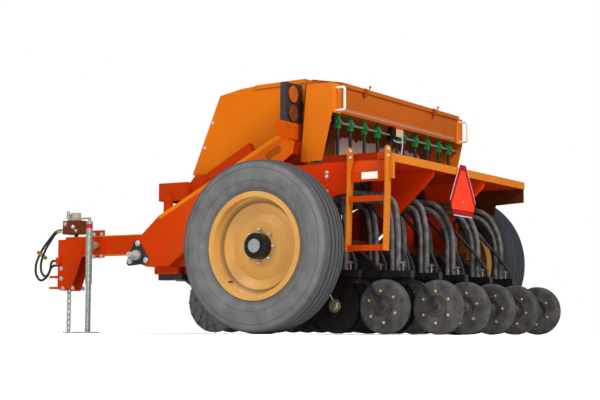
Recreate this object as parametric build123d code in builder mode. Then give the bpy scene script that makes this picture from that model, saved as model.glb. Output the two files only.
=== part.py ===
from build123d import *
import os
from math import radians, sin, tan

# Pull-type no-till seed drill, eleven rows. +X is its left side, -Y its front, +Z up, floor at z = 0.
# Fore-and-aft sizes are measured from the wheels' axle line, rearward positive.

# Rows
ROW_SPACING = 190.5
ROWS_EACH_SIDE = 5
RANK_STAGGER = 263.0

# Ground wheels
TYRE_RADIUS = 530.0
TYRE_WIDTH = 240.0
TYRE_RIB_COUNT = 5
TYRE_RIB_DEPTH = 12.0
TYRE_GROOVE = 12.0
WHEEL_STAND = 290.0
RIM_RADIUS = 305.0
RIM_FLANGE_RADIUS = 330.0
RIM_WIDTH = 190.0
RIM_WALL = 8.0
RIM_DISC_INSET = 34.0
DISC_DISH = 44.0
HUB_RADIUS = 78.0
HUB_REACH = 62.0
GAP_RADIUS = 281.0
GAP_SPAN = 46.0
GAP_WIDTH = 22.0
LUG_COUNT = 8
LUG_CIRCLE_RADIUS = 101.5
LUG_RADIUS = 11.0
LUG_HEIGHT = 14.0
SPINDLE_RADIUS = 32.0
SPINDLE_PLATE = 14.0
WEB_THICK = 8.0

# Press wheels
PRESS_RADIUS = 165.0
PRESS_WIDTH = 76.0
PRESS_LIFT = 4.0
PRESS_CROWN = 26.0
PRESS_REAR_Y = 900.0
PRESS_PIN_RADIUS = 12.0
PRESS_ARM_THICK = 10.0
PRESS_ARM_WIDTH = 22.0
PRESS_ARM_GAP = 8.0
PRESS_HUB_RADIUS = 30.0

# Openers
DISC_RADIUS = 171.0
DISC_LIFT = 5.0
DISC_THICK = 4.0
DISC_SPLAY = 5.0
DISC_LEAD = 330.0
DISC_HUB_RADIUS = 30.0
DISC_HUB_OUT = 38.0
SHANK_THICK = 12.0
OPENER_WIDTH = 50.0
OPENER_TOP = 395.0
OPENER_DEPTH = 85.0
OPENER_CAP = 42.0
OPENER_FRONT = 460.0
OPENER_REAR = 175.0
HANDLE_LEAD = 240.0
HANDLE_HEIGHT = 48.0
HANDLE_RADIUS = 6.0
HANDLE_BAR_RADIUS = 7.5
HANDLE_HALF = 26.0

# Coulters
COULTER_RADIUS = 209.0
COULTER_LIFT = 4.0
COULTER_THICK = 5.0
COULTER_WAVE = 9.0
COULTER_FLUTES = 16
FLUTE_LENGTH = 70.0
COULTER_Y = -624.0
COULTER_HUB_RADIUS = 42.0
COULTER_HUB_HALF = 22.0
COULTER_PIN_RADIUS = 14.0
COULTER_ARM_THICK = 12.0
CLAMP_DROP = 48.0

# Frame
BAR = 152.0
FRAME_BOTTOM = 441.0
FRONT_BAR_Y = -1024.0
MID_BAR_Y = -380.0
REAR_BAR_Y = 226.0
RAIL_WIDTH = 102.0
RAIL_MARGIN = 25.5
SIDE_DEPTH = 72.0
SIDE_WALL = 8.0
TONGUE_WIDTH = 102.0
TONGUE_FRONT_Y = -2700.0
ROCK_SHAFT_Y = -1186.0
ROCK_SHAFT_Z = 519.0
ROCK_SHAFT_RADIUS = 19.0
ROCK_SHAFT_STUB = 100.0
FLANGE_THICK = 10.0

# Hitch
HITCH_PLATE = 10.0
HITCH_BOTTOM = 327.0
HITCH_FACE_Y = -2768.0
CLEVIS_HOLE_RADIUS = 16.0
CLEVIS_LOW = 343.0
CLEVIS_TOP = 445.0
CLEVIS_THICK = 16.0
CLEVIS_HOLE_Y = -2835.0
CHAIN_PIN_Y = -2700.0
CHAIN_PIN_Z = 345.0
CHAIN_PIN_RADIUS = 7.0
LINK_HALF = 30.0
LINK_HALF_WIDTH = 18.0
LINK_WIRE = 9.0
LINK_COUNT = 8

# Hopper and rear box
BOX_INSET = 138.0
BOX_WALL = 5.0
BOX_FLOOR = 1061.0
REAR_BOX_INSET = 10.0
REAR_BOX_FLOOR = 1398.0
RIDGE_Y = 36.0
RIDGE_RISE = 228.0
REAR_EDGE_Y = 262.0
REAR_EDGE_FALL = 39.0
REAR_LID_FRONT = 44.0
REAR_LID_REAR = 270.0
SEAM_Y = -4.0
LID_FRONT = -392.0
LID_THICK = 3.0
LID_LIP = 24.0
LID_OVER = 8.0
COVER_WIDTH = 105.0
COVER_REAR = 250.0
COVER_FALL = 9.0
COVER_DROP = 8.0
CUP_RADIUS = 25.0
CUP_WIDTH = 32.0
CUP_Y = 205.0
CUP_DROP = 53.0
SPOUT_LENGTH = 40.0
SHAFT_RADIUS = 8.0
DRIVE_INSET = 67.0
IDLER_Y = 98.0
IDLER_Z = 1122.0
CHAIN_RADIUS = 36.0
CHAIN_DEPTH = 8.0
CHAIN_WIDTH = 12.0
FEED_Y = -60.0
FEED_DEPTH = 71.0
FEED_PAIR = 24.0
GREY_PAIR = 20.0
FEED_WIDTH = 50.0

GRAB_RADIUS = 8.0
GRAB_BEND = 14.0
GRAB_INSET = 50.0
GRAB_REACH = 62.0
GRAB_FALL = 28.0
GRAB_HEIGHT = 145.0

# Box supports
LEG_WIDTH = 60.0
LEG_DEPTH = 76.0
LEG_REAR_Y = 224.0
BEAM = 76.0
REAR_BEAM_Y = -262.0
FRONT_BEAM_Y = -762.0
SILL_FRONT = -1072.0
SILL_REAR = -839.0
SILL_TOP = 1000.0
SILL_BOTTOM = 880.0

BRACE_STAND = 92.0
BRACE_WIDTH = 116.0
BRACKET_LENGTH = 318.0
BRACKET_HEIGHT = 104.0
BRACKET_THICK = 6.0
BRACKET_Z = 1282.0
BRACKET_SLOT = 210.0
LAMP_STAND = 27.0
LAMP_WIDTH = 197.0
LAMP_FRONT = -54.0
LAMP_REAR = -11.0
LAMP_BOTTOM = 1335.0
LAMP_TOP = 1585.0
LENS_RADIUS = 54.0
LENS_INSET = 76.0
LENS_PROUD = 9.0

# Walkboard
DECK_OVER = 58.0
DECK_TOP = 1056.0
DECK_FRONT = 250.0
DECK_REAR = 694.0
DECK_PLATE = 6.0
LIP_TOP = 1100.0
LIP_DROP = 46.0
GUSSET_X = 381.0
GUSSET_THICK = 8.0
SIDE_PLATE = 8.0
LADDER_RAIL = 10.0
LADDER_DEPTH = 62.0
LADDER_FRONT = 453.0
LADDER_REAR = 724.0
LADDER_BOTTOM = 500.0
LADDER_TOP = 1135.0
LADDER_LEAN = 26.0
RUNG_DEPTH = 34.0
RUNG_HEIGHT = 30.0
RUNG_TEETH = 14
TOOTH = 5.0

# Hoses
HOSE_RADIUS = 9.0
HOSE_FRONT_Y = -3008.0
OUTER_HOSE_X = 51.0
INNER_HOSE_X = 74.0
VALVE_FRONT = -2705.0
GREY_HOSE_RADIUS = 17.0
BLACK_HOSE_RADIUS = 11.0
GREY_LEAD = 294.0
GREY_DRIFT = 70.0
GREY_DROP = 60.0
GREY_STEP = 40.0
BLACK_LEAD = 205.0
BLACK_SIDESTEP = 44.0

# Jack
JACK_X = 165.0
JACK_Y = -2365.0
JACK_RADIUS = 25.0
JACK_LEG_RADIUS = 20.0
JACK_TUBE_BOTTOM = 370.0
JACK_LEG_TOP = 440.0
JACK_TOP = 850.0
JACK_PIVOT_Z = 669.0
JACK_BOSS_RADIUS = 30.0
JACK_BOSS_LENGTH = 30.0
JACK_PLATE = 12.0
FOOT_RADIUS = 90.0
FOOT_THICK = 8.0
CRANK_REACH = 215.0
CRANK_RADIUS = 7.0
GRIP_RADIUS = 12.0
GRIP_HEIGHT = 62.0

# Clearances
SEAT_GAP = 0.3
RUN_GAP = 0.3

# The hoses' front loop and the rear press wheels end the machine, and its origin lies midway.
FRONT_END = HOSE_FRONT_Y - HOSE_RADIUS
REAR_END = PRESS_REAR_Y + PRESS_RADIUS
AXLE_Y = -(FRONT_END + REAR_END) / 2

TONGUE_BOTTOM = FRAME_BOTTOM + BAR
TONGUE_TOP = TONGUE_BOTTOM + BAR
TONGUE_HALF = TONGUE_WIDTH / 2
AXLE_Z = TYRE_RADIUS
PRESS_Z = PRESS_RADIUS + PRESS_LIFT
DISC_Z = DISC_RADIUS + DISC_LIFT
COULTER_Z = COULTER_RADIUS + COULTER_LIFT
OPENER_BOTTOM = OPENER_TOP - OPENER_DEPTH

# The rows set the machine's width: rails just outside the last rows, then the side frames, boxes and wheels.
RAIL_OUT = ROWS_EACH_SIDE * ROW_SPACING + RAIL_MARGIN
RAIL_IN = RAIL_OUT - RAIL_WIDTH
SIDE_IN = RAIL_OUT + 2
SIDE_OUT = RAIL_OUT + SIDE_DEPTH
TRACK_HALF = SIDE_OUT + WHEEL_STAND
BOX_HALF = RAIL_OUT - BOX_INSET
REAR_BOX_HALF = BOX_HALF - REAR_BOX_INSET
COVER_OUT = REAR_BOX_HALF + COVER_WIDTH
DRIVE_X = COVER_OUT - DRIVE_INSET
GRAB_X = COVER_OUT - GRAB_INSET
LAMP_IN = BOX_HALF + LAMP_STAND
LAMP_OUT = LAMP_IN + LAMP_WIDTH
LENS_X = LAMP_OUT - LENS_INSET
DECK_HALF = RAIL_OUT + DECK_OVER
DECK_UNDER = DECK_TOP - DECK_PLATE

# The rear box's floor sets the heights of its ridge, its rear edge, its end covers, the cups under it and
# the grab handles on it.
RIDGE_Z = REAR_BOX_FLOOR + RIDGE_RISE
REAR_EDGE_Z = RIDGE_Z - REAR_EDGE_FALL
COVER_TOP = REAR_EDGE_Z - COVER_FALL
COVER_OPEN = REAR_BOX_FLOOR - COVER_DROP
CUP_Z = REAR_BOX_FLOOR - CUP_DROP
GRAB_TOP = COVER_TOP - GRAB_FALL
GRAB_FOOT = GRAB_TOP - GRAB_HEIGHT


def side_plane(x):
    """A plane across the machine at this x, drawn in (y, z), y from the axle."""
    return Plane(origin=(x, AXLE_Y, 0), x_dir=(0, 1, 0), z_dir=(1, 0, 0))


def rear_plane(y):
    """A plane facing forward at this y, drawn in (x, z)."""
    return Plane(origin=(0, AXLE_Y + y, 0), x_dir=(1, 0, 0), z_dir=(0, -1, 0))


def level_plane(z):
    """A level plane, drawn in (x, y), y from the axle."""
    return Plane(origin=(0, AXLE_Y, z), x_dir=(1, 0, 0), z_dir=(0, 0, 1))


def spot(x, y, z):
    """A place, y from the axle."""
    return Pos(x, AXLE_Y + y, z)


def outline(plane, points):
    """A face with straight edges through these points."""
    with BuildSketch(plane) as face:
        with BuildLine():
            Polyline(*points, close=True)
        make_face()
    return face.sketch


def bar(x_range, y_range, z_range, mode=Mode.ADD):
    """A plain bar of the open part between two corners, y from the axle."""
    size = [abs(high - low) for low, high in (x_range, y_range, z_range)]
    middle = [(low + high) / 2 for low, high in (x_range, y_range, z_range)]
    with Locations(spot(*middle)):
        Box(*size, mode=mode)


def rod(plane, places, radius, length, mode=Mode.ADD):
    """Round bars of the open part, standing on this plane at these places."""
    with BuildSketch(plane) as ends:
        with Locations(*places):
            Circle(radius)
    extrude(ends.sketch, amount=length, mode=mode)


def bend_radii(points):
    """For each corner, as large an arc as its two runs leave room for."""
    radii = []
    for before, corner, after in zip(points, points[1:], points[2:]):
        run_in = Vector(*corner) - Vector(*before)
        run_out = Vector(*after) - Vector(*corner)
        turn = radians(run_in.get_angle(run_out))
        radii.append(0.45 * min(run_in.length, run_out.length) / tan(turn / 2))
    return radii


def hose(points, radius, bends=None):
    """A hose of the open part: straight runs and tangent arcs through these places."""
    with BuildLine() as route:
        places = [spot(*point).position for point in points]
        FilletPolyline(*places, radius=bends or bend_radii(points))
    with BuildSketch(Plane(origin=route.line @ 0, z_dir=route.line % 0)) as end:
        Circle(radius)
    sweep(end.sketch, path=route.line)


def save(name, builder):
    """Labels a finished piece and writes it."""
    builder.part.label = name
    export_step(builder.part, "parts/" + name + ".step")


os.makedirs("parts", exist_ok=True)

# From the middle row outward: how far outside the row its metering cup and its feed cup stand, and its
# grey hoses where they pass under the walkboard
CUP_SHIFTS = (0, -100.5, -111, -121.5, -132, -162.5)
FEED_SHIFTS = (60, -40.5, -51, -61.5, -72, -207.5)
GREY_SHIFTS = (60, -40.5, -51, -61.5, -72, -52.5)

# Each row's number from the right, its side, its distance from the middle, its press wheel's place, its
# two cups' places and its grey hoses' place: every other row is set back.
ROWS = []
for step in range(-ROWS_EACH_SIDE, ROWS_EACH_SIDE + 1):
    side = 1 if step >= 0 else -1
    press_y = PRESS_REAR_Y if step % 2 == 0 else PRESS_REAR_Y - RANK_STAGGER
    row_out = abs(step) * ROW_SPACING
    cup_x = side * (row_out + CUP_SHIFTS[abs(step)])
    feed_x = side * (row_out + FEED_SHIFTS[abs(step)])
    grey_x = side * (row_out + GREY_SHIFTS[abs(step)])
    ROWS.append((step + ROWS_EACH_SIDE + 1, side, step * ROW_SPACING, press_y, cup_x, feed_x, grey_x))

SIDES = (("left", 1), ("right", -1))

# Ground wheel tyres: a rounded section with ribs round the tread
shoulder = TYRE_WIDTH / 2
tread_half = shoulder - 22
tread_edge = TYRE_RADIUS - TYRE_RIB_DEPTH
rib_pitch = 2 * tread_half / TYRE_RIB_COUNT
bead = RIM_RADIUS + SEAT_GAP
bead_top = RIM_FLANGE_RADIUS + 6
bead_half = RIM_WIDTH / 2 - RIM_WALL - SEAT_GAP
bulge = (TYRE_RADIUS + RIM_FLANGE_RADIUS) / 2
for side, sign in SIDES:
    wheel_x = sign * TRACK_HALF
    wheel_axis = Axis((wheel_x, AXLE_Y, AXLE_Z), (1, 0, 0))
    with BuildPart() as tyre:
        with BuildSketch(Plane(origin=wheel_axis.position, x_dir=(1, 0, 0), z_dir=(0, -1, 0))):
            with BuildLine():
                Polyline((-bead_half, bead_top), (-bead_half, bead), (bead_half, bead), (bead_half, bead_top))
                ThreePointArc((bead_half, bead_top), (shoulder, bulge), (tread_half, tread_edge))
                ThreePointArc((tread_half, tread_edge), (0, TYRE_RADIUS), (-tread_half, tread_edge))
                ThreePointArc((-tread_half, tread_edge), (-shoulder, bulge), (-bead_half, bead_top))
            make_face()
            for groove in range(1, TYRE_RIB_COUNT):
                with Locations((groove * rib_pitch - tread_half, TYRE_RADIUS)):
                    Rectangle(TYRE_GROOVE, 2 * TYRE_RIB_DEPTH, mode=Mode.SUBTRACT)
        revolve(axis=wheel_axis)
    save("tyre_" + side, tyre)

    # Rim: barrel with two flanges, a dished disc set in from the outer flange, hub barrel and lug nuts
    half = RIM_WIDTH / 2
    disc_out = half - RIM_DISC_INSET
    disc_flat = disc_out - DISC_DISH
    hub_face = disc_flat + HUB_REACH
    seat = RIM_RADIUS - RIM_WALL
    with BuildPart() as rim:
        with BuildSketch(Plane(origin=wheel_axis.position, x_dir=(sign, 0, 0), z_dir=(0, -sign, 0))):
            with BuildLine():
                Polyline(
                    (-half, RIM_FLANGE_RADIUS),
                    (-half, seat),
                    (disc_out - 30, seat),
                    (disc_out - 74, 203),
                    (disc_flat - RIM_WALL, 148),
                    (disc_flat - RIM_WALL, HUB_RADIUS - 12),
                    (-half - 20, HUB_RADIUS - 12),
                    (-half - 20, SPINDLE_RADIUS + RUN_GAP),
                    (hub_face - 12, SPINDLE_RADIUS + RUN_GAP),
                    (hub_face - 12, 0),
                    (hub_face + 14, 0),
                    (hub_face + 14, 40),
                    (hub_face, 46),
                    (hub_face, HUB_RADIUS),
                    (disc_flat, HUB_RADIUS),
                    (disc_flat, 152),
                    (disc_out - 64, 205),
                    (disc_out - 20, seat),
                    (half, seat),
                    (half, RIM_FLANGE_RADIUS),
                    (half - RIM_WALL, RIM_FLANGE_RADIUS),
                    (half - RIM_WALL, RIM_RADIUS),
                    (RIM_WALL - half, RIM_RADIUS),
                    (RIM_WALL - half, RIM_FLANGE_RADIUS),
                    close=True,
                )
            make_face()
        revolve(axis=wheel_axis)
        with BuildSketch(Plane(origin=(wheel_x + sign * disc_flat, AXLE_Y, AXLE_Z), z_dir=(sign, 0, 0))):
            with PolarLocations(LUG_CIRCLE_RADIUS, LUG_COUNT):
                RegularPolygon(LUG_RADIUS, 6)
        extrude(amount=LUG_HEIGHT)
        with BuildSketch(Plane(origin=(wheel_x, AXLE_Y, AXLE_Z), z_dir=(sign, 0, 0))):
            with Locations(*(Rot(0, 0, 90 * gap + 45) for gap in range(4))):
                SlotArc(CenterArc((0, 0), GAP_RADIUS, -GAP_SPAN / 2, GAP_SPAN), GAP_WIDTH)
        extrude(amount=disc_out, mode=Mode.SUBTRACT)
    save("rim_" + side, rim)

# Spindles: a plate on the outer side of each rail, and the shaft that carries the wheel
plate_out = RAIL_OUT + SPINDLE_PLATE
hub_back = TRACK_HALF - RIM_WIDTH / 2 - 20
spindle_end = TRACK_HALF + RIM_WIDTH / 2 - RIM_DISC_INSET - DISC_DISH + HUB_REACH - 12
with BuildPart() as axles:
    for sign in (1, -1):
        bar(
            (sign * RAIL_OUT, sign * plate_out),
            (-100, 100),
            (FRAME_BOTTOM, FRAME_BOTTOM + 180),
        )
        rod(side_plane(sign * plate_out), [(0, AXLE_Z)], SPINDLE_RADIUS + 22, sign * (hub_back - 8 - plate_out))
        rod(side_plane(sign * plate_out), [(0, AXLE_Z)], SPINDLE_RADIUS, sign * (spindle_end - 1 - plate_out))
        face = outline(side_plane(sign * RAIL_OUT), (
            (-760, 470),
            (90, 470),
            (90, 640),
            (-10, 1040),
            (-60, 1055),
        ))
        extrude(face, amount=sign * WEB_THICK)
save("axles", axles)

# Main frame: three cross tubes between two side rails
rail_front = FRONT_BAR_Y - BAR / 2
rail_rear = REAR_BAR_Y + BAR / 2
with BuildPart() as main_frame:
    for bar_y in (FRONT_BAR_Y, MID_BAR_Y, REAR_BAR_Y):
        bar((-RAIL_IN, RAIL_IN), (bar_y - BAR / 2, bar_y + BAR / 2), (FRAME_BOTTOM, FRAME_BOTTOM + BAR))
    for sign in (1, -1):
        bar((sign * RAIL_IN, sign * RAIL_OUT), (rail_front, rail_rear), (FRAME_BOTTOM, FRAME_BOTTOM + RAIL_WIDTH))
save("main_frame", main_frame)

# Side frames: a pressed pan from the front bar up to the box's end, open to the inside
SIDE_OUTLINE = (
    (-1223, 600),
    (-1256, 490),
    (-1180, 466),
    (-1110, FRAME_BOTTOM),
    (-932, FRAME_BOTTOM),
    (-49, 1075),
    (25, 1127),
    (40, 1202),
    (-73, 1257),
    (-1012, 780),
    (-1140, 671),
)
with BuildPart() as side_frames:
    for sign in (1, -1):
        face = outline(side_plane(sign * SIDE_OUT), SIDE_OUTLINE)
        extrude(face, amount=-sign * (SIDE_OUT - SIDE_IN))
        with BuildSketch(side_plane(sign * (SIDE_OUT - SIDE_WALL))) as pan:
            with BuildLine():
                Polyline(*SIDE_OUTLINE, close=True)
            make_face()
            offset(amount=-SIDE_WALL, kind=Kind.INTERSECTION, mode=Mode.REPLACE)
        extrude(pan.sketch, amount=-sign * (SIDE_OUT - SIDE_IN), mode=Mode.SUBTRACT)
        shaft_hole = side_plane(sign * (SIDE_OUT + 1))
        rod(shaft_hole, [(ROCK_SHAFT_Y, ROCK_SHAFT_Z)], ROCK_SHAFT_RADIUS + SEAT_GAP, -sign * 12, Mode.SUBTRACT)
        with BuildSketch(shaft_hole) as slot:
            with Locations((-111, 1139)):
                SlotOverall(128, 46, rotation=28)
        extrude(slot.sketch, amount=-sign * 12, mode=Mode.SUBTRACT)
save("side_frames", side_frames)

# Rock shaft across the front with its stub ends, and the three-bolt flanges that hold it
with BuildPart() as rock_shaft:
    reach = SIDE_OUT + ROCK_SHAFT_STUB
    rod(side_plane(-reach), [(ROCK_SHAFT_Y, ROCK_SHAFT_Z)], ROCK_SHAFT_RADIUS, 2 * reach)
    for sign in (1, -1):
        with BuildSketch(side_plane(sign * (SIDE_OUT + SEAT_GAP))) as flange:
            with Locations((ROCK_SHAFT_Y, ROCK_SHAFT_Z)):
                with PolarLocations(78, 3, start_angle=95):
                    Circle(24)
            make_hull()
        extrude(flange.sketch, amount=sign * FLANGE_THICK)
        flange_face = side_plane(sign * (SIDE_OUT + SEAT_GAP + FLANGE_THICK))
        rod(flange_face, [(ROCK_SHAFT_Y, ROCK_SHAFT_Z)], 34, sign * 22)
save("rock_shaft", rock_shaft)

# Tongue: one deep tube from the hitch to the middle bar, on top of the bars, with the jack's mount
mount_out = TONGUE_HALF + JACK_PLATE
boss_out = mount_out + JACK_BOSS_LENGTH
tongue_rear = MID_BAR_Y + BAR / 2
with BuildPart() as tongue:
    bar((-TONGUE_HALF, TONGUE_HALF), (TONGUE_FRONT_Y, tongue_rear), (TONGUE_BOTTOM, TONGUE_TOP))
    bar(
        (TONGUE_HALF, mount_out),
        (JACK_Y - 54, JACK_Y + 60),
        (JACK_PIVOT_Z - 94, JACK_PIVOT_Z + 118),
    )
    rod(side_plane(mount_out), [(JACK_Y, JACK_PIVOT_Z)], JACK_BOSS_RADIUS, JACK_BOSS_LENGTH)
save("tongue", tongue)

# Hitch bracket: two tapered side plates, a front plate, the clevis tabs and the chain's pin
hitch_in = TONGUE_HALF + SEAT_GAP
hitch_out = hitch_in + HITCH_PLATE
with BuildPart() as hitch_bracket:
    for sign in (1, -1):
        face = outline(side_plane(sign * hitch_in), (
            (HITCH_FACE_Y, 725),
            (-2520, 725),
            (-2520, 600),
            (-2635, HITCH_BOTTOM),
            (-2727, HITCH_BOTTOM),
            (HITCH_FACE_Y, CLEVIS_LOW),
        ))
        extrude(face, amount=sign * HITCH_PLATE)
    bar((-hitch_in, hitch_in), (HITCH_FACE_Y, HITCH_FACE_Y + 14), (CLEVIS_LOW, 725))
    bar((hitch_out, hitch_out + 28), (HITCH_FACE_Y, HITCH_FACE_Y + 40), (535, 585))
    for tab_z in (CLEVIS_LOW, CLEVIS_TOP - CLEVIS_THICK):
        bar((-40, 40), (-2872, HITCH_FACE_Y), (tab_z, tab_z + CLEVIS_THICK))
    rod(level_plane(CLEVIS_LOW - 1), [(0, CLEVIS_HOLE_Y)], CLEVIS_HOLE_RADIUS, 104, Mode.SUBTRACT)
    rod(side_plane(-hitch_in), [(CHAIN_PIN_Y, CHAIN_PIN_Z)], CHAIN_PIN_RADIUS, 2 * hitch_in)
save("hitch_bracket", hitch_bracket)

# Safety chain: links turned a quarter from one to the next, hanging from the pin to the floor
link_pitch = 2 * (LINK_HALF - LINK_WIRE) - SEAT_GAP
first_link_z = CHAIN_PIN_Z + CHAIN_PIN_RADIUS + SEAT_GAP - LINK_HALF + LINK_WIRE
with BuildPart() as safety_chain:
    for link in range(LINK_COUNT):
        normal = (1, 0, 0) if link % 2 == 0 else (0, 1, 0)
        centre = spot(0, CHAIN_PIN_Y, first_link_z - link * link_pitch).position
        with BuildSketch(Plane(origin=centre, x_dir=(0, 0, 1), z_dir=normal).offset(-LINK_WIRE / 2)) as ring:
            SlotOverall(2 * LINK_HALF, 2 * LINK_HALF_WIDTH)
            SlotOverall(2 * (LINK_HALF - LINK_WIRE), 2 * (LINK_HALF_WIDTH - LINK_WIRE), mode=Mode.SUBTRACT)
        extrude(ring.sketch, amount=LINK_WIRE)
    for across, back, angle in ((0, 25, 85), (42, 10, 20), (-41, 36, 150)):
        with BuildSketch(level_plane(0)) as ring:
            with Locations((across, CHAIN_PIN_Y + back)):
                SlotOverall(2 * LINK_HALF, 2 * LINK_HALF_WIDTH, rotation=angle)
                SlotOverall(
                    2 * (LINK_HALF - LINK_WIRE),
                    2 * (LINK_HALF_WIDTH - LINK_WIRE),
                    rotation=angle,
                    mode=Mode.SUBTRACT,
                )
        extrude(ring.sketch, amount=LINK_WIRE)
save("safety_chain", safety_chain)

# Valve block on its stub above the tongue, with a cap and a small lever knob
with BuildPart() as valve_block:
    bar((-20, 84), (VALVE_FRONT, -2535), (765, 870))
    rod(level_plane(TONGUE_TOP), [(20, -2620)], 16, 20)
    rod(level_plane(870), [(40, -2608)], 38, 62)
    rod(level_plane(870), [(40, -2672)], 17, 56)
save("valve_block", valve_block)

# Two hydraulic hoses, from the valve block round to the hitch bracket's face
OUTER_HOSE = (
    (OUTER_HOSE_X, VALVE_FRONT - SEAT_GAP, 800),
    (OUTER_HOSE_X, -2800, 800),
    (OUTER_HOSE_X, -2945, 655),
    (OUTER_HOSE_X, HOSE_FRONT_Y, 545),
    (OUTER_HOSE_X, HOSE_FRONT_Y, 458),
    (OUTER_HOSE_X, -2955, 400),
    (OUTER_HOSE_X, -2880, 440),
    (OUTER_HOSE_X, -2840, 525),
    (OUTER_HOSE_X, HITCH_FACE_Y - SEAT_GAP, 525),
)
INNER_HOSE = (
    (INNER_HOSE_X, VALVE_FRONT - SEAT_GAP, 785),
    (INNER_HOSE_X, -2780, 785),
    (INNER_HOSE_X, -2895, 645),
    (INNER_HOSE_X, -2935, 545),
    (INNER_HOSE_X, -2930, 472),
    (INNER_HOSE_X, -2880, 430),
    (INNER_HOSE_X, -2835, 480),
    (INNER_HOSE_X, -2825, 560),
    (INNER_HOSE_X, HITCH_FACE_Y - SEAT_GAP, 560),
)
with BuildPart() as hitch_hoses:
    for route in (OUTER_HOSE, INNER_HOSE):
        hose(route, HOSE_RADIUS)
        print("hose radii", [round(radius) for radius in bend_radii(route)])
save("hitch_hoses", hitch_hoses)

# Openers: body, its hanger to the rear bar, and the shank between the discs
with BuildPart() as opener_frames:
    for number, side, row_x, press_y, cup_x, feed_x, grey_x in ROWS:
        front = press_y - OPENER_FRONT
        rear = press_y - OPENER_REAR
        sides = (row_x - OPENER_WIDTH / 2, row_x + OPENER_WIDTH / 2)
        bar(sides, (front, rear), (OPENER_TOP - OPENER_CAP, OPENER_TOP))
        shank = (row_x - SHANK_THICK / 2, row_x + SHANK_THICK / 2)
        bar(shank, (front, rear), (OPENER_BOTTOM, OPENER_TOP - OPENER_CAP))
        if front < rail_rear:
            bar(sides, (front, rail_rear - 20), (OPENER_TOP, FRAME_BOTTOM))
        else:
            face = outline(side_plane(sides[0]), (
                (rail_rear, FRAME_BOTTOM),
                (rail_rear, FRAME_BOTTOM + 100),
                (rail_rear + 40, FRAME_BOTTOM + 100),
                (front + 60, OPENER_TOP),
                (front + 60, OPENER_TOP - OPENER_CAP),
                (front, OPENER_TOP - OPENER_CAP),
            ))
            extrude(face, amount=OPENER_WIDTH)
        disc_y = press_y - DISC_LEAD
        face = outline(side_plane(row_x - SHANK_THICK / 2), (
            (disc_y - 45, OPENER_BOTTOM),
            (disc_y + 60, OPENER_BOTTOM),
            (disc_y + 45, DISC_Z - 40),
            (disc_y - 25, DISC_Z - 40),
        ))
        extrude(face, amount=SHANK_THICK)
save("opener_frames", opener_frames)

# Opener discs in V pairs, each with its hub against the shank
disc_out = DISC_RADIUS * sin(radians(DISC_SPLAY)) + DISC_THICK
with BuildPart() as opener_discs:
    for number, side, row_x, press_y, cup_x, feed_x, grey_x in ROWS:
        disc_y = press_y - DISC_LEAD
        for sign in (1, -1):
            place = spot(row_x + sign * disc_out, disc_y, DISC_Z)
            with Locations(place * Rot(0, 0, -sign * DISC_SPLAY) * Rot(0, 90, 0)):
                Cylinder(DISC_RADIUS, DISC_THICK)
            hub_in = row_x + sign * SHANK_THICK / 2
            rod(side_plane(hub_in), [(disc_y, DISC_Z)], DISC_HUB_RADIUS, sign * (DISC_HUB_OUT - SHANK_THICK / 2))
save("opener_discs", opener_discs)

# Depth handles: a rod with a cross bar on each opener
with BuildPart() as depth_handles:
    for number, side, row_x, press_y, cup_x, feed_x, grey_x in ROWS:
        handle_y = press_y - HANDLE_LEAD
        rod(level_plane(OPENER_TOP), [(row_x, handle_y)], HANDLE_RADIUS, HANDLE_HEIGHT)
        cross = [(handle_y, OPENER_TOP + HANDLE_HEIGHT)]
        rod(side_plane(row_x - HANDLE_HALF), cross, HANDLE_BAR_RADIUS, 2 * HANDLE_HALF)
save("depth_handles", depth_handles)

# Press wheel arms on the left of each wheel, with pivot and axle pins
pivot_z = OPENER_BOTTOM + 12
arm_out = PRESS_WIDTH / 2 + PRESS_ARM_GAP
with BuildPart() as press_arms:
    for number, side, row_x, press_y, cup_x, feed_x, grey_x in ROWS:
        arm_in = row_x + arm_out
        pivot_y = press_y - OPENER_REAR - 30
        with BuildSketch(side_plane(arm_in)) as arm:
            with BuildLine() as bend:
                FilletPolyline((pivot_y, pivot_z), (press_y - 95, pivot_z), (press_y, PRESS_Z), radius=70)
            trace(lines=bend.line, line_width=PRESS_ARM_WIDTH)
            with Locations((pivot_y, pivot_z), (press_y, PRESS_Z)):
                Circle(PRESS_ARM_WIDTH * 0.8)
        extrude(arm.sketch, amount=PRESS_ARM_THICK)
        rod(side_plane(arm_in), [(pivot_y, pivot_z)], PRESS_PIN_RADIUS, SHANK_THICK / 2 - arm_out)
        rod(side_plane(arm_in), [(press_y, PRESS_Z)], PRESS_PIN_RADIUS, -(arm_out + PRESS_WIDTH / 2 - 8))
save("press_arms", press_arms)

# Press wheels: a crowned tread, dished sides and a bored hub
half = PRESS_WIDTH / 2
bore = PRESS_PIN_RADIUS + RUN_GAP
crown = PRESS_RADIUS - PRESS_CROWN
flat = half - PRESS_CROWN
mid = PRESS_CROWN * (1 - sin(radians(45)))
with BuildPart() as press_wheel:
    with BuildSketch(Plane.XZ):
        with BuildLine():
            Polyline(
                (half, crown),
                (half, 74),
                (half - 14, 62),
                (half - 14, PRESS_HUB_RADIUS + 8),
                (half, PRESS_HUB_RADIUS),
                (half, bore),
                (-half, bore),
                (-half, PRESS_HUB_RADIUS),
                (14 - half, PRESS_HUB_RADIUS + 8),
                (14 - half, 62),
                (-half, 74),
                (-half, crown),
            )
            ThreePointArc((-half, crown), (mid - half, PRESS_RADIUS - mid), (-flat, PRESS_RADIUS))
            Line((-flat, PRESS_RADIUS), (flat, PRESS_RADIUS))
            ThreePointArc((flat, PRESS_RADIUS), (half - mid, PRESS_RADIUS - mid), (half, crown))
        make_face()
    revolve(axis=Axis.X)
for number, side, row_x, press_y, cup_x, feed_x, grey_x in ROWS:
    with BuildPart() as placed:
        with Locations(spot(row_x, press_y, PRESS_Z)):
            add(press_wheel.part)
    save("press_wheel_" + str(number).zfill(2), placed)

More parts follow.
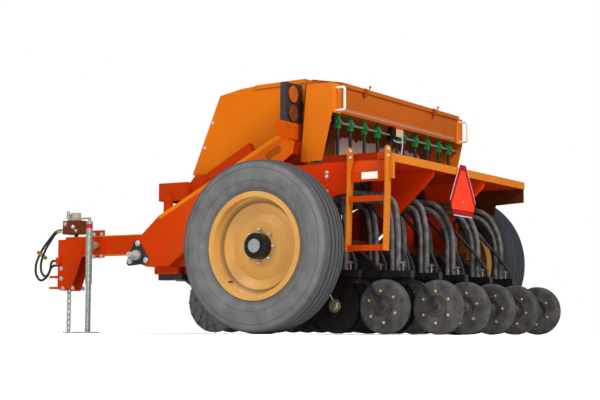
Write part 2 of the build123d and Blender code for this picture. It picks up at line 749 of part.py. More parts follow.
# Coulter clamps under the front bar and rails
clamp_bottom = FRAME_BOTTOM - CLAMP_DROP
with BuildPart() as coulter_clamps:
    for number, side, row_x, press_y, cup_x, feed_x, grey_x in ROWS:
        bar((row_x - 40, row_x + 40), (-1090, -900), (clamp_bottom, FRAME_BOTTOM))
save("coulter_clamps", coulter_clamps)

# Coulter arms: a block under each clamp, and one arm down the right of the coulter with its pin
arm_face = COULTER_HUB_HALF + 8
with BuildPart() as coulter_arms:
    for number, side, row_x, press_y, cup_x, feed_x, grey_x in ROWS:
        bar((row_x - 42, row_x + 36), (-1060, -862), (clamp_bottom - 40, clamp_bottom))
        face = outline(side_plane(row_x - arm_face), (
            (-900, clamp_bottom - 40),
            (-862, clamp_bottom),
            (-820, clamp_bottom - 10),
            (COULTER_Y + 24, COULTER_Z + 24),
            (COULTER_Y + 24, COULTER_Z - 24),
            (COULTER_Y - 24, COULTER_Z - 24),
        ))
        extrude(face, amount=-COULTER_ARM_THICK)
        pin = side_plane(row_x - arm_face)
        rod(pin, [(COULTER_Y, COULTER_Z)], COULTER_PIN_RADIUS, arm_face + COULTER_HUB_HALF)
save("coulter_arms", coulter_arms)

# Coulters: a flat disc with slanted flutes pressed round its edge, and a bored hub
with BuildPart() as coulter:
    with BuildSketch(Plane.YZ.offset(-COULTER_THICK / 2)):
        Circle(COULTER_RADIUS - 6)
    extrude(amount=COULTER_THICK)
    with BuildSketch(Plane.YZ.offset(-COULTER_HUB_HALF)):
        Circle(COULTER_HUB_RADIUS)
    extrude(amount=2 * COULTER_HUB_HALF)
    with BuildSketch(Plane.YZ):
        with PolarLocations(COULTER_RADIUS - FLUTE_LENGTH / 2, COULTER_FLUTES):
            Rectangle(FLUTE_LENGTH - 10, 16, rotation=24)
    extrude(amount=COULTER_WAVE, both=True)
    with BuildSketch(Plane.YZ.offset(-COULTER_HUB_HALF)):
        Circle(COULTER_PIN_RADIUS + RUN_GAP)
    extrude(amount=2 * COULTER_HUB_HALF, mode=Mode.SUBTRACT)
for number, side, row_x, press_y, cup_x, feed_x, grey_x in ROWS:
    with BuildPart() as placed:
        with Locations(spot(row_x, COULTER_Y, COULTER_Z)):
            add(coulter.part)
    save("coulter_" + str(number).zfill(2), placed)

# Seed hopper: sloping front, flat rear wall, open under its lid
HOPPER_OUTLINE = (
    (-897, BOX_FLOOR),
    (-864, 1140),
    (-677, 1579),
    (-511, 1612),
    (LID_FRONT, 1622),
    (SEAM_Y, 1632),
    (SEAM_Y, BOX_FLOOR),
)
with BuildPart() as hopper:
    face = outline(side_plane(-BOX_HALF), HOPPER_OUTLINE)
    extrude(face, amount=2 * BOX_HALF)
    with BuildSketch(side_plane(-BOX_HALF + BOX_WALL)):
        with BuildLine():
            Polyline(*HOPPER_OUTLINE, close=True)
        make_face()
        offset(amount=-BOX_WALL, kind=Kind.INTERSECTION, mode=Mode.REPLACE)
    extrude(amount=2 * (BOX_HALF - BOX_WALL), mode=Mode.SUBTRACT)
    bar(
        (BOX_WALL - BOX_HALF, BOX_HALF - BOX_WALL),
        (LID_FRONT, SEAM_Y - BOX_WALL),
        (1600, 1660),
        mode=Mode.SUBTRACT,
    )
save("hopper", hopper)

with BuildPart() as hopper_lid:
    over = BOX_HALF + LID_OVER
    under_front = 1622 + SEAT_GAP
    under_rear = 1632 + SEAT_GAP
    face = outline(side_plane(-over), (
        (LID_FRONT, under_front),
        (LID_FRONT, under_front + LID_THICK),
        (SEAM_Y, under_rear + LID_THICK),
        (SEAM_Y, under_rear),
    ))
    extrude(face, amount=2 * over)
    for sign in (1, -1):
        face = outline(side_plane(sign * over), (
            (LID_FRONT, under_front),
            (SEAM_Y, under_rear),
            (SEAM_Y, under_rear - LID_LIP),
            (LID_FRONT, under_front - LID_LIP),
        ))
        extrude(face, amount=-sign * LID_THICK)
save("hopper_lid", hopper_lid)

# Rear box: a second, smaller box behind the seam, with a hollow cover on each end that reaches down to
# the deck and is open at the bottom and low at the rear
REAR_OUTLINE = (
    (0, REAR_BOX_FLOOR),
    (245, REAR_BOX_FLOOR),
    (REAR_EDGE_Y, REAR_EDGE_Z),
    (RIDGE_Y, RIDGE_Z),
    (0, RIDGE_Z),
)
with BuildPart() as rear_box:
    face = outline(side_plane(-REAR_BOX_HALF), REAR_OUTLINE)
    extrude(face, amount=2 * REAR_BOX_HALF)
    with BuildSketch(side_plane(-REAR_BOX_HALF + BOX_WALL)):
        with BuildLine():
            Polyline(*REAR_OUTLINE, close=True)
        make_face()
        offset(amount=-BOX_WALL, kind=Kind.INTERSECTION, mode=Mode.REPLACE)
    extrude(amount=2 * (REAR_BOX_HALF - BOX_WALL), mode=Mode.SUBTRACT)
    bar(
        (BOX_WALL - REAR_BOX_HALF, REAR_BOX_HALF - BOX_WALL),
        (REAR_LID_FRONT, 245),
        (1540, 1660),
        mode=Mode.SUBTRACT,
    )
    for sign in (1, -1):
        cover_in = side_plane(sign * REAR_BOX_HALF)
        face = outline(cover_in, (
            (62, COVER_TOP),
            (COVER_REAR, COVER_TOP),
            (COVER_REAR, COVER_OPEN),
            (176, 1087),
            (20, 1087),
        ))
        extrude(face, amount=sign * (COVER_OUT - REAR_BOX_HALF))
        face = outline(cover_in, (
            (62 + BOX_WALL, COVER_TOP - BOX_WALL),
            (COVER_REAR - BOX_WALL, COVER_TOP - BOX_WALL),
            (COVER_REAR - BOX_WALL, COVER_OPEN),
            (COVER_REAR + BOX_WALL, COVER_OPEN),
            (COVER_REAR + BOX_WALL, 1080),
            (19 + BOX_WALL, 1080),
        ))
        extrude(face, amount=sign * (COVER_OUT - BOX_WALL - REAR_BOX_HALF), mode=Mode.SUBTRACT)
save("rear_box", rear_box)

with BuildPart() as rear_lid:
    over = REAR_BOX_HALF + LID_OVER
    slope = (REAR_EDGE_Z - RIDGE_Z) / (REAR_EDGE_Y - RIDGE_Y)
    front_z = RIDGE_Z + slope * (REAR_LID_FRONT - RIDGE_Y) + SEAT_GAP
    rear_z = RIDGE_Z + slope * (REAR_LID_REAR - RIDGE_Y) + SEAT_GAP
    face = outline(side_plane(-over), (
        (REAR_LID_FRONT, front_z),
        (REAR_LID_FRONT, front_z + LID_THICK),
        (REAR_LID_REAR, rear_z + LID_THICK),
        (REAR_LID_REAR, rear_z - LID_LIP),
        (REAR_LID_REAR - LID_THICK, rear_z - LID_LIP),
        (REAR_LID_REAR - LID_THICK, rear_z + 1),
    ))
    extrude(face, amount=2 * over)
save("rear_lid", rear_lid)

# Metering cups under the rear box and the shaft through them
with BuildPart() as seed_cups:
    for number, side, row_x, press_y, cup_x, feed_x, grey_x in ROWS:
        with BuildSketch(side_plane(cup_x - CUP_WIDTH / 2)) as cup:
            with Locations((CUP_Y, CUP_Z)):
                Circle(CUP_RADIUS)
            with Locations((CUP_Y, CUP_Z - SPOUT_LENGTH / 2)):
                Rectangle(28, SPOUT_LENGTH)
            with Locations((CUP_Y, (CUP_Z + REAR_BOX_FLOOR) / 2)):
                Rectangle(22, REAR_BOX_FLOOR - CUP_Z)
            with Locations((CUP_Y, CUP_Z)):
                Circle(SHAFT_RADIUS + SEAT_GAP, mode=Mode.SUBTRACT)
        extrude(cup.sketch, amount=CUP_WIDTH)
save("seed_cups", seed_cups)

with BuildPart() as meter_shaft:
    shaft_half = COVER_OUT - BOX_WALL - SEAT_GAP
    rod(side_plane(-shaft_half), [(CUP_Y, CUP_Z)], SHAFT_RADIUS, 2 * shaft_half)
save("meter_shaft", meter_shaft)

# Meter drive at the left end: a chain round two sprockets, the lower one on a stub from the end cover
with BuildPart() as meter_drive:
    with BuildSketch(side_plane(DRIVE_X)) as loop:
        with BuildLine() as centres:
            Line((CUP_Y, CUP_Z), (IDLER_Y, IDLER_Z))
        trace(lines=centres.line, line_width=2 * CHAIN_RADIUS)
        with Locations((CUP_Y, CUP_Z), (IDLER_Y, IDLER_Z)):
            Circle(CHAIN_RADIUS)
        offset(amount=-CHAIN_DEPTH, mode=Mode.SUBTRACT)
    extrude(loop.sketch, amount=CHAIN_WIDTH)
    sprocket = CHAIN_RADIUS - CHAIN_DEPTH
    rod(side_plane(DRIVE_X + 2), [(CUP_Y, CUP_Z), (IDLER_Y, IDLER_Z)], sprocket, CHAIN_WIDTH - 4)
    rod(side_plane(DRIVE_X + 2), [(IDLER_Y, IDLER_Z)], SHAFT_RADIUS, COVER_OUT - BOX_WALL - DRIVE_X - 2)
    shaft_bore = side_plane(DRIVE_X - 1)
    rod(shaft_bore, [(CUP_Y, CUP_Z)], SHAFT_RADIUS + SEAT_GAP, CHAIN_WIDTH + 2, Mode.SUBTRACT)
save("meter_drive", meter_drive)

# Feed cups under the hopper
feed_bottom = BOX_FLOOR - FEED_DEPTH
with BuildPart() as feed_cups:
    for number, side, row_x, press_y, cup_x, feed_x, grey_x in ROWS:
        face = outline(side_plane(feed_x - FEED_WIDTH / 2), (
            (FEED_Y - 45, BOX_FLOOR),
            (FEED_Y + 45, BOX_FLOOR),
            (FEED_Y + 45, feed_bottom),
            (FEED_Y - 45, feed_bottom),
        ))
        extrude(face, amount=FEED_WIDTH)
save("feed_cups", feed_cups)

# Seed hoses: grey ones from the hopper and black ones from the rear box, to each opener
with BuildPart() as grey_hoses:
    for number, side, row_x, press_y, cup_x, feed_x, grey_x in ROWS:
        for pair in (1, -1):
            start_y = FEED_Y + pair * FEED_PAIR
            run_z = feed_bottom - GREY_DROP - GREY_STEP * (1 - pair) / 2
            end_y = press_y - GREY_LEAD + pair * GREY_PAIR
            hose(
                (
                    (feed_x, start_y, feed_bottom - SEAT_GAP),
                    (feed_x, start_y, run_z),
                    (grey_x, end_y - GREY_DRIFT, run_z - GREY_DROP),
                    (row_x, end_y, 680),
                    (row_x, end_y, OPENER_TOP + SEAT_GAP),
                ),
                GREY_HOSE_RADIUS,
            )
save("grey_hoses", grey_hoses)

with BuildPart() as black_hoses:
    for number, side, row_x, press_y, cup_x, feed_x, grey_x in ROWS:
        end_y = press_y - BLACK_LEAD
        hose(
            (
                (cup_x, CUP_Y, CUP_Z - SPOUT_LENGTH - SEAT_GAP),
                (cup_x, CUP_Y, 1000),
                (row_x - side * BLACK_SIDESTEP, end_y - 75, OPENER_TOP + 165),
                (row_x, end_y, OPENER_TOP + 45),
                (row_x, end_y, OPENER_TOP + SEAT_GAP),
            ),
            BLACK_HOSE_RADIUS,
        )
save("black_hoses", black_hoses)

# Box supports: two posts on the rear bar with arms forward, two beams under the hopper, and the front sill
beam_bottom = BOX_FLOOR - BEAM
arm_bottom = beam_bottom - BEAM
with BuildPart() as box_supports:
    for sign in (1, -1):
        leg = (sign * GUSSET_X - LEG_WIDTH / 2, sign * GUSSET_X + LEG_WIDTH / 2)
        bar(leg, (LEG_REAR_Y - LEG_DEPTH, LEG_REAR_Y), (FRAME_BOTTOM + BAR, beam_bottom))
        bar(leg, (SILL_REAR, LEG_REAR_Y - LEG_DEPTH), (arm_bottom, beam_bottom))
    beam_reach = SIDE_OUT - SIDE_WALL - SEAT_GAP
    bar((-beam_reach, beam_reach), (REAR_BEAM_Y - BEAM / 2, REAR_BEAM_Y + BEAM / 2), (beam_bottom, BOX_FLOOR))
    bar((-BOX_HALF, BOX_HALF), (FRONT_BEAM_Y - BEAM / 2, FRONT_BEAM_Y + BEAM / 2), (beam_bottom, BOX_FLOOR))
    bar((-SIDE_IN, SIDE_IN), (SILL_FRONT, SILL_REAR), (SILL_BOTTOM, SILL_TOP))
    bar(
        (6 - SIDE_IN, SIDE_IN - 6),
        (SILL_FRONT + 6, SILL_REAR - 6),
        (SILL_BOTTOM - 1, SILL_TOP - 6),
        mode=Mode.SUBTRACT,
    )
    for sign in (1, -1):
        face = outline(side_plane(sign * SIDE_IN), (
            (-1000, SILL_BOTTOM + 40),
            (-950, SILL_BOTTOM + 40),
            (-950, 812),
            (-1000, 787),
        ))
        extrude(face, amount=sign * 40)
    for sign in (1, -1):
        brace_in = BOX_HALF + BRACE_STAND
        with BuildSketch(side_plane(sign * brace_in)) as brace:
            with BuildLine() as run:
                Line((-648, 999), (-323, 1174))
            trace(lines=run.line, line_width=BRACE_WIDTH)
        extrude(brace.sketch, amount=sign * (SIDE_IN - SEAT_GAP - brace_in))
        face = outline(side_plane(sign * brace_in), (
            (SILL_REAR - 3, 900),
            (SILL_REAR - 3, SILL_TOP),
            (-800, 1045),
            (-650, 1045),
            (-620, 960),
        ))
        extrude(face, amount=sign * WEB_THICK)
        with BuildSketch(rear_plane(LAMP_REAR - BRACKET_THICK - 1)) as plate:
            with Locations((sign * (BOX_HALF + SEAT_GAP + BRACKET_LENGTH / 2), BRACKET_Z)):
                Rectangle(BRACKET_LENGTH, BRACKET_HEIGHT)
            with Locations((sign * (BOX_HALF + BRACKET_SLOT), BRACKET_Z + 12)):
                SlotOverall(86, 28, mode=Mode.SUBTRACT)
        extrude(plate.sketch, amount=-BRACKET_THICK)
save("box_supports", box_supports)

# Walkboard: a pan with a deep rear lip and a toe lip at each end
with BuildPart() as walkboard:
    bar((-DECK_HALF, DECK_HALF), (DECK_FRONT, DECK_REAR), (DECK_UNDER, DECK_TOP))
    bar((-DECK_HALF, DECK_HALF), (DECK_REAR - DECK_PLATE, DECK_REAR), (LIP_TOP - LIP_DROP, LIP_TOP))
    for sign in (1, -1):
        bar(
            (sign * (DECK_HALF - DECK_PLATE), sign * DECK_HALF),
            (DECK_FRONT, DECK_REAR),
            (DECK_UNDER, LIP_TOP),
        )
save("walkboard", walkboard)

# Walkboard brackets: gussets on the posts, side plates under the ends, and posts inside them on the rails
with BuildPart() as walkboard_brackets:
    for sign in (1, -1):
        face = outline(side_plane(sign * GUSSET_X - GUSSET_THICK / 2), (
            (LEG_REAR_Y, DECK_UNDER),
            (679, DECK_UNDER),
            (679, 1012),
            (425, 771),
            (380, 734),
            (284, 734),
            (LEG_REAR_Y, 944),
        ))
        extrude(face, amount=GUSSET_THICK)
    for sign in (1, -1):
        face = outline(side_plane(sign * DECK_HALF), (
            (30, DECK_UNDER),
            (DECK_REAR - DECK_PLATE, DECK_UNDER),
            (DECK_REAR - DECK_PLATE, 953),
            (468, 941),
            (459, 868),
            (331, 851),
            (287, 821),
            (30, 780),
        ))
        extrude(face, amount=-sign * SIDE_PLATE)
    for sign in (1, -1):
        bar(
            (sign * (RAIL_OUT + SEAT_GAP), sign * (DECK_HALF - SIDE_PLATE - SEAT_GAP)),
            (105, 175),
            (FRAME_BOTTOM + 15, DECK_UNDER - 20),
        )
save("walkboard_brackets", walkboard_brackets)

# Ladder on the walkboard's left end: flat rails with round tops, a bent step plate between them at the top,
# two rungs with toothed treads, and a bracket behind the rear rail
ladder_in = DECK_HALF + SEAT_GAP
ladder_out = ladder_in + LADDER_DEPTH
round_top = LADDER_TOP - LADDER_DEPTH / 2
rung_rear = LADDER_REAR - LADDER_RAIL
rung_front = LADDER_FRONT + LADDER_RAIL
tooth_pitch = (rung_rear - rung_front) / RUNG_TEETH
with BuildPart() as ladder:
    for rail_y in (LADDER_FRONT, rung_rear):
        with BuildSketch(rear_plane(rail_y)) as rail:
            with BuildLine():
                Polyline(
                    (ladder_in, round_top),
                    (ladder_in, 930),
                    (ladder_in + LADDER_LEAN, LADDER_BOTTOM),
                    (ladder_out + LADDER_LEAN, LADDER_BOTTOM),
                    (ladder_out, 930),
                    (ladder_out, round_top),
                )
                ThreePointArc(
                    (ladder_out, round_top),
                    ((ladder_in + ladder_out) / 2, LADDER_TOP),
                    (ladder_in, round_top),
                )
            make_face()
        extrude(rail.sketch, amount=-LADDER_RAIL)
    for rung_z, out in ((LADDER_BOTTOM + 2, LADDER_LEAN), (800, 10)):
        tread = [(rung_front, rung_z), (rung_front, rung_z + RUNG_HEIGHT)]
        for tooth in range(RUNG_TEETH):
            tooth_y = rung_front + tooth * tooth_pitch
            tread.append((tooth_y + tooth_pitch / 2, rung_z + RUNG_HEIGHT + TOOTH))
            tread.append((tooth_y + tooth_pitch, rung_z + RUNG_HEIGHT))
        tread.append((rung_rear, rung_z))
        face = outline(side_plane(ladder_in + out + 14), tread)
        extrude(face, amount=RUNG_DEPTH)
    face = outline(rear_plane(rung_front), (
        (ladder_in, DECK_UNDER),
        (ladder_in + 4, DECK_UNDER),
        (ladder_in + 32, 984),
        (ladder_in + 32, 922),
        (ladder_in + 26, 922),
        (ladder_in + 26, 983),
        (ladder_in, 1041),
    ))
    extrude(face, amount=rung_front - rung_rear)
    bar((ladder_in, ladder_in + 24), (LADDER_REAR, LADDER_REAR + 26), (935, 1086))
    bar((ladder_in, ladder_in + 8), (DECK_REAR - 60, LADDER_REAR), (1058, LIP_TOP - 4))
save("ladder", ladder)

# Slow-vehicle sign: a cut-off triangle on a short bracket behind the walkboard's lip
with BuildPart() as rear_sign:
    with BuildSketch(rear_plane(DECK_REAR + 8)) as sign_face:
        with BuildLine():
            Polyline((-46, 1126), (46, 1126), (193, 880), (137, 778), (-137, 778), (-193, 880), close=True)
        make_face()
    extrude(sign_face.sketch, amount=2)
    bar((-20, 20), (DECK_REAR + SEAT_GAP, DECK_REAR + 6), (1044, 1090))
save("rear_sign", rear_sign)

# Lamps on the hopper's ends, two round lenses in each, facing rearward
with BuildPart() as lamps:
    for sign in (1, -1):
        bar((sign * LAMP_IN, sign * LAMP_OUT), (LAMP_FRONT, LAMP_REAR), (LAMP_BOTTOM, LAMP_TOP))
        bar((sign * (BOX_HALF + SEAT_GAP), sign * LAMP_IN), (LAMP_FRONT + 8, LAMP_REAR - 8), (1440, 1480))
        lenses = [(sign * LENS_X, 1395), (sign * LENS_X, 1515)]
        rod(rear_plane(LAMP_REAR), lenses, LENS_RADIUS, -LENS_PROUD)
save("lamps", lamps)

# Grab handles on the rear faces of the rear box's end covers
with BuildPart() as grab_handles:
    for sign in (1, -1):
        foot = COVER_REAR + SEAT_GAP
        grip = COVER_REAR + GRAB_REACH
        hose(
            (
                (sign * GRAB_X, foot, GRAB_TOP),
                (sign * GRAB_X, grip, GRAB_TOP),
                (sign * GRAB_X, grip, GRAB_FOOT),
                (sign * GRAB_X, foot, GRAB_FOOT),
            ),
            GRAB_RADIUS,
            GRAB_BEND,
        )
save("grab_handles", grab_handles)

# Jack: outer tube with its swivel and crank, and the leg with its foot
with BuildPart() as jack_tube:
    rod(level_plane(JACK_TUBE_BOTTOM), [(JACK_X, JACK_Y)], JACK_RADIUS, JACK_TOP - JACK_TUBE_BOTTOM)
    swivel = side_plane(boss_out + SEAT_GAP)
    rod(swivel, [(JACK_Y, JACK_PIVOT_Z)], JACK_BOSS_RADIUS, JACK_X - boss_out - JACK_LEG_RADIUS - 2)
    leg_room = level_plane(JACK_TUBE_BOTTOM - 1)
    rod(
        leg_room,
        [(JACK_X, JACK_Y)],
        JACK_LEG_RADIUS + RUN_GAP,
        JACK_TOP - JACK_TUBE_BOTTOM - 11,
        Mode.SUBTRACT,
    )
    rod(level_plane(JACK_TOP), [(JACK_X, JACK_Y)], 12, 30)
    crank_z = JACK_TOP + 30 - CRANK_RADIUS
    with BuildSketch(rear_plane(JACK_Y)) as crank:
        with Locations((JACK_X, crank_z)):
            Circle(CRANK_RADIUS)
    extrude(crank.sketch, amount=CRANK_REACH)
    rod(level_plane(crank_z), [(JACK_X, JACK_Y - CRANK_REACH)], GRIP_RADIUS, GRIP_HEIGHT)
save("jack_tube", jack_tube)

with BuildPart() as jack_leg:
    rod(level_plane(FOOT_THICK), [(JACK_X, JACK_Y)], JACK_LEG_RADIUS, JACK_LEG_TOP - FOOT_THICK)
    rod(level_plane(0), [(JACK_X, JACK_Y)], FOOT_RADIUS, FOOT_THICK)
save("jack_leg", jack_leg)
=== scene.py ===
import bpy
import math
from mathutils import Matrix, Vector


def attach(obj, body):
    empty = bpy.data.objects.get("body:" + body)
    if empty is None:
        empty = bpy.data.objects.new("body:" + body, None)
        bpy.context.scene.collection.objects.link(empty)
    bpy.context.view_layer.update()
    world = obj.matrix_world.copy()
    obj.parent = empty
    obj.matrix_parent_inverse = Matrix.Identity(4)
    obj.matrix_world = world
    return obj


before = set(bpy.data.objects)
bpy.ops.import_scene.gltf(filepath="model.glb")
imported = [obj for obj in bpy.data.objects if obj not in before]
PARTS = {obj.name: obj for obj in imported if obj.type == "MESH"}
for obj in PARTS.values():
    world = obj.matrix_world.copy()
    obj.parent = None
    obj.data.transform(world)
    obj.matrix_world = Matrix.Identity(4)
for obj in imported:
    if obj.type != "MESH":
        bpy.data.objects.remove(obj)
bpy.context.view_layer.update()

# Sizes in metres, in the machine's frame
MM = 0.001
AXLE = 0.976
WHEEL_Z = 0.53
ROCK_SHAFT_Y = AXLE - 1.186
ROCK_SHAFT_Z = 0.519
TYRE_RINGS = ((0.348, 0.352), (0.392, 0.396), (0.47, 0.476))
HUB_RADIUS = 0.0795
LUG_INNER = 0.0905
LUG_OUTER = 0.1135
LAMP_X = 0.988
LENS_HEIGHTS = (1.395, 1.515)
LENS_RIB = 0.005

# The side frame's upper edge slopes up to the rear, and the sign's sides lean inwards
SLOPE_SIN, SLOPE_COS = 0.4528, 0.8916
SIGN_ACROSS, SIGN_UP = 0.8585, 0.5128

# Rows of soil tools in millimetres, y measured from the axle
ROWS_EACH_SIDE = 5
ROW_SPACING = 190.5
REAR_RANK_Y = 900.0
FRONT_RANK_Y = 637.0
PRESS_AXLE_Z = 169
PRESS_BOLT_CIRCLE = 96
PRESS_DISH = 38
DISC_LEAD = 330
DISC_AXLE_Z = 176
DISC_HUB_FACE = 37
CAP_BOLT_CIRCLE = 34
SCRAPER_OUT = 40

# Faces that take bolts and fittings in millimetres from the middle, or out from the wheel
FLANGE_FACE = 1060.3
WALKBOARD_FACE = 1036
HOPPER_FACE = 840
HITCH_FACE = 61.3
JACK_PLATE_FACE = 63
VALVE_FACE = 84
LADDER_MIDDLE = 1074
RAIL_DEPTH = 10
RIM_FACE = 1368
STUD_FACE = 1370
STUD_CIRCLE = 101.5

X_AXIS, Y_AXIS, Z_AXIS = Vector((1, 0, 0)), Vector((0, 1, 0)), Vector((0, 0, 1))


def spot(x, y, z):
    """A place in metres from millimetres, y measured from the axle."""
    return Vector((x * MM, y * MM + AXLE, z * MM))


# Colours and shader trees
def linear(code):
    """A linear colour from an sRGB hex value."""
    channels = [int(code[i:i + 2], 16) / 255 for i in (1, 3, 5)]
    return (*[c / 12.92 if c <= 0.04045 else ((c + 0.055) / 1.055) ** 2.4 for c in channels], 1.0)


class Nodes:
    """A node tree, filled one node at a time."""

    def __init__(self, tree):
        self.tree = tree

    def add(self, kind, *inputs, **settings):
        """Adds a node with its settings, fills its open inputs in order, and gives its first open output."""
        node = self.tree.nodes.new("ShaderNode" + kind)
        for key, value in settings.items():
            setattr(node, key, value)
        open_inputs = [socket for socket in node.inputs if socket.enabled]
        for socket, value in zip(open_inputs, inputs):
            if value is not None:
                self.fill(socket, value)
        return next((socket for socket in node.outputs if socket.enabled), None)

    def fill(self, socket, value):
        """Sets a socket to a number or a hex colour, or links another node to it."""
        if isinstance(value, bpy.types.NodeSocket):
            self.tree.links.new(value, socket)
        else:
            socket.default_value = linear(value) if isinstance(value, str) else value


class Finish(Nodes):
    """One material and its place on the machine: x, y, z, and side for the distance from the middle."""

    def __init__(self, name):
        self.material = bpy.data.materials.new(name)
        self.material.use_nodes = True
        super().__init__(self.material.node_tree)
        self.place = self.add("TexCoord").node.outputs["Object"]
        self.x, self.y, self.z = self.add("SeparateXYZ", self.place).node.outputs
        self.side = self.add("Math", self.x, operation="ABSOLUTE")

    def patches(self, size_mm, detail=3, low=0.35, high=0.7, least=0.0, most=1.0, rough=0.5):
        """Cloudy patches of about this size, from least to most."""
        cloud = self.add("TexNoise", self.place, 1 / (size_mm * MM), detail, rough)
        return self.add("MapRange", cloud, low, high, least, most)

    def gloss(self, size_mm, detail, least, most):
        """Roughness that drifts over patches of this size, where weather has dulled the surface."""
        return self.patches(size_mm, detail, 0.3, 0.7, least, most)

    def relief(self, size_mm, detail, depth_mm, under=None, rough=0.5):
        """A raised grain of this size and depth, on the surface under it."""
        cloud = self.add("TexNoise", self.place, 1 / (size_mm * MM), detail, rough)
        return self.add("Bump", 1.0, depth_mm * MM, None, cloud, under)

    def sheet(self):
        """Orange peel 3.2 mm across on pressed sheet with slow 140 mm waves."""
        return self.relief(3.2, 2, 0.05, self.relief(140, 2, 0.25))

    def zone(self, *edges):
        """1 past every edge (value, start, end); an edge whose end is below its start falls instead."""
        mask = 1.0
        for value, start, end in edges:
            past = self.add("MapRange", value, start, end)
            mask = self.add("Math", mask, past, operation="MULTIPLY")
        return mask

    def band(self, value, low, high, soft=0.0006):
        """1 where the value lies between low and high."""
        return self.zone((value, low - soft, low + soft), (value, high + soft, high - soft))

    def distance(self, *offsets):
        """Distance in metres from an axis, given as (coordinate, the axis's place on it)."""
        total = 0.0
        for value, middle in offsets:
            off = self.add("Math", value, middle, operation="SUBTRACT")
            total = self.add("Math", off, off, total, operation="MULTIPLY_ADD")
        return self.add("Math", total, operation="SQRT")

    def layered(self, color, *layers):
        """A colour with each next (mask, colour) laid over it."""
        for mask, top in layers:
            color = self.add("Mix", mask, color, top, data_type="RGBA")
        return color

    def dusty(self, amount=0.15):
        """Dust in 38 mm spots, thickest near the ground."""
        low_down = self.add("MapRange", self.z, 0.15, 1.2, 1.0, 0.25)
        spots = self.patches(38, 6, 0.5, 0.72, most=amount, rough=0.65)
        return self.add("Math", low_down, spots, operation="MULTIPLY")

    def scuffed(self, color, scuff, amount=0.3):
        """Scuffs about 9 mm long that show the darker coat."""
        return self.layered(color, (self.patches(9, 4, 0.72, 0.78, most=amount, rough=0.7), scuff))

    def done(self, color, rough, normal, metal=0.0, spec=0.5, coat=0.0, coat_rough=0.1):
        """Fills the surface's sockets and gives the material."""
        surface = self.tree.nodes["Principled BSDF"].inputs
        self.fill(surface["Base Color"], color)
        self.fill(surface["Roughness"], rough)
        self.fill(surface["Metallic"], metal)
        self.fill(surface["Normal"], normal)
        surface["Specular IOR Level"].default_value = spec
        surface["Coat Weight"].default_value = coat
        surface["Coat Roughness"].default_value = coat_rough
        return self.material


# Finishes
def paint(name, code, dark, rough=0.42, coat=0.0, dust="#7A5434", dust_amount=0.15, spec=0.06):
    """Sprayed enamel over steel: orange peel, soft fading, dust low down and a few scuffs."""
    s = Finish(name)
    dusty = s.dusty(dust_amount)
    color = s.scuffed(s.layered(code, (s.patches(420), dark), (dusty, dust)), dark)
    gloss = s.add("Math", dusty, 0.5, s.gloss(60, 4, rough - 0.06, rough + 0.1), operation="MULTIPLY_ADD")
    return s.done(color, gloss, s.sheet(), spec=spec, coat=coat, coat_rough=0.2)


def enamel(name, regions):
    """Sprayed enamel whose colour follows where on the machine it lies: regions(finish) gives it."""
    s = Finish(name)
    color = s.layered(regions(s), (s.patches(420, most=0.12), "#7A2A04"), (s.dusty(), "#7A5434"))
    return s.done(s.scuffed(color, "#6A2404"), s.gloss(60, 4, 0.36, 0.5), s.sheet(), spec=0.06)


def plated(name, code, dark, rough=0.34, grain=18, metal=0.6):
    """Zinc plate: mottled grain, dull spots and fine rolling marks."""
    s = Finish(name)
    cells = s.add("TexVoronoi", s.place, 1 / (grain * MM))
    cloud = s.add("TexNoise", s.place, 1 / (30 * MM), 5, 0.5)
    half = s.add("Math", cells, 0.5, operation="MULTIPLY")
    shade = s.add("Math", cloud, 0.6, half, operation="MULTIPLY_ADD")
    color = s.layered(code, (s.zone((shade, 0.2, 0.8)), dark))
    return s.done(color, s.gloss(22, 5, rough - 0.06, rough + 0.14), s.relief(2.5, 3, 0.04), metal)


def rubber(name, code, dust, dusty, rough=0.78):
    """Rubber with a 1.4 mm grain and road dust settled on it."""
    s = Finish(name)
    color = s.layered(code, (s.patches(70, 6, 0.3, 0.75, most=dusty, rough=0.6), dust))
    normal = s.relief(1.4, 3, 0.15, s.relief(35, 3, 0.5))
    return s.done(color, s.gloss(25, 4, rough - 0.1, rough + 0.1), normal, spec=0.35)


def plastic(name, code, dark, ribs_mm=0.0):
    """Moulded plastic with a light grain, and rings round it where it is a ribbed hose."""
    s = Finish(name)
    color = s.layered(code, (s.patches(45, 4), dark))
    normal = s.relief(1.8, 2, 0.05)
    if ribs_mm:
        turn = s.add("Math", s.z, 2 * math.pi / (ribs_mm * MM), operation="MULTIPLY")
        wave = s.add("Math", turn, operation="SINE")
        color = s.layered(color, (s.add("MapRange", wave, -1, -0.2, 0.6, 0.0), dark))
        normal = s.add("Bump", 1.0, 2 * MM, None, s.zone((wave, -1, 1)), normal)
    return s.done(color, s.gloss(30, 4, 0.39, 0.55), normal)


def disc_steel(name, code, dark, rust):
    """Rolled disc steel: bright scour, a brown film and fine scratches."""
    s = Finish(name)
    film = s.patches(26, 6, 0.52, 0.7, most=0.45, rough=0.7)
    color = s.layered(code, (s.patches(40, 5), dark), (film, rust))
    return s.done(color, s.gloss(12, 5, 0.3, 0.55), s.relief(4, 5, 0.12, rough=0.7), 0.7)


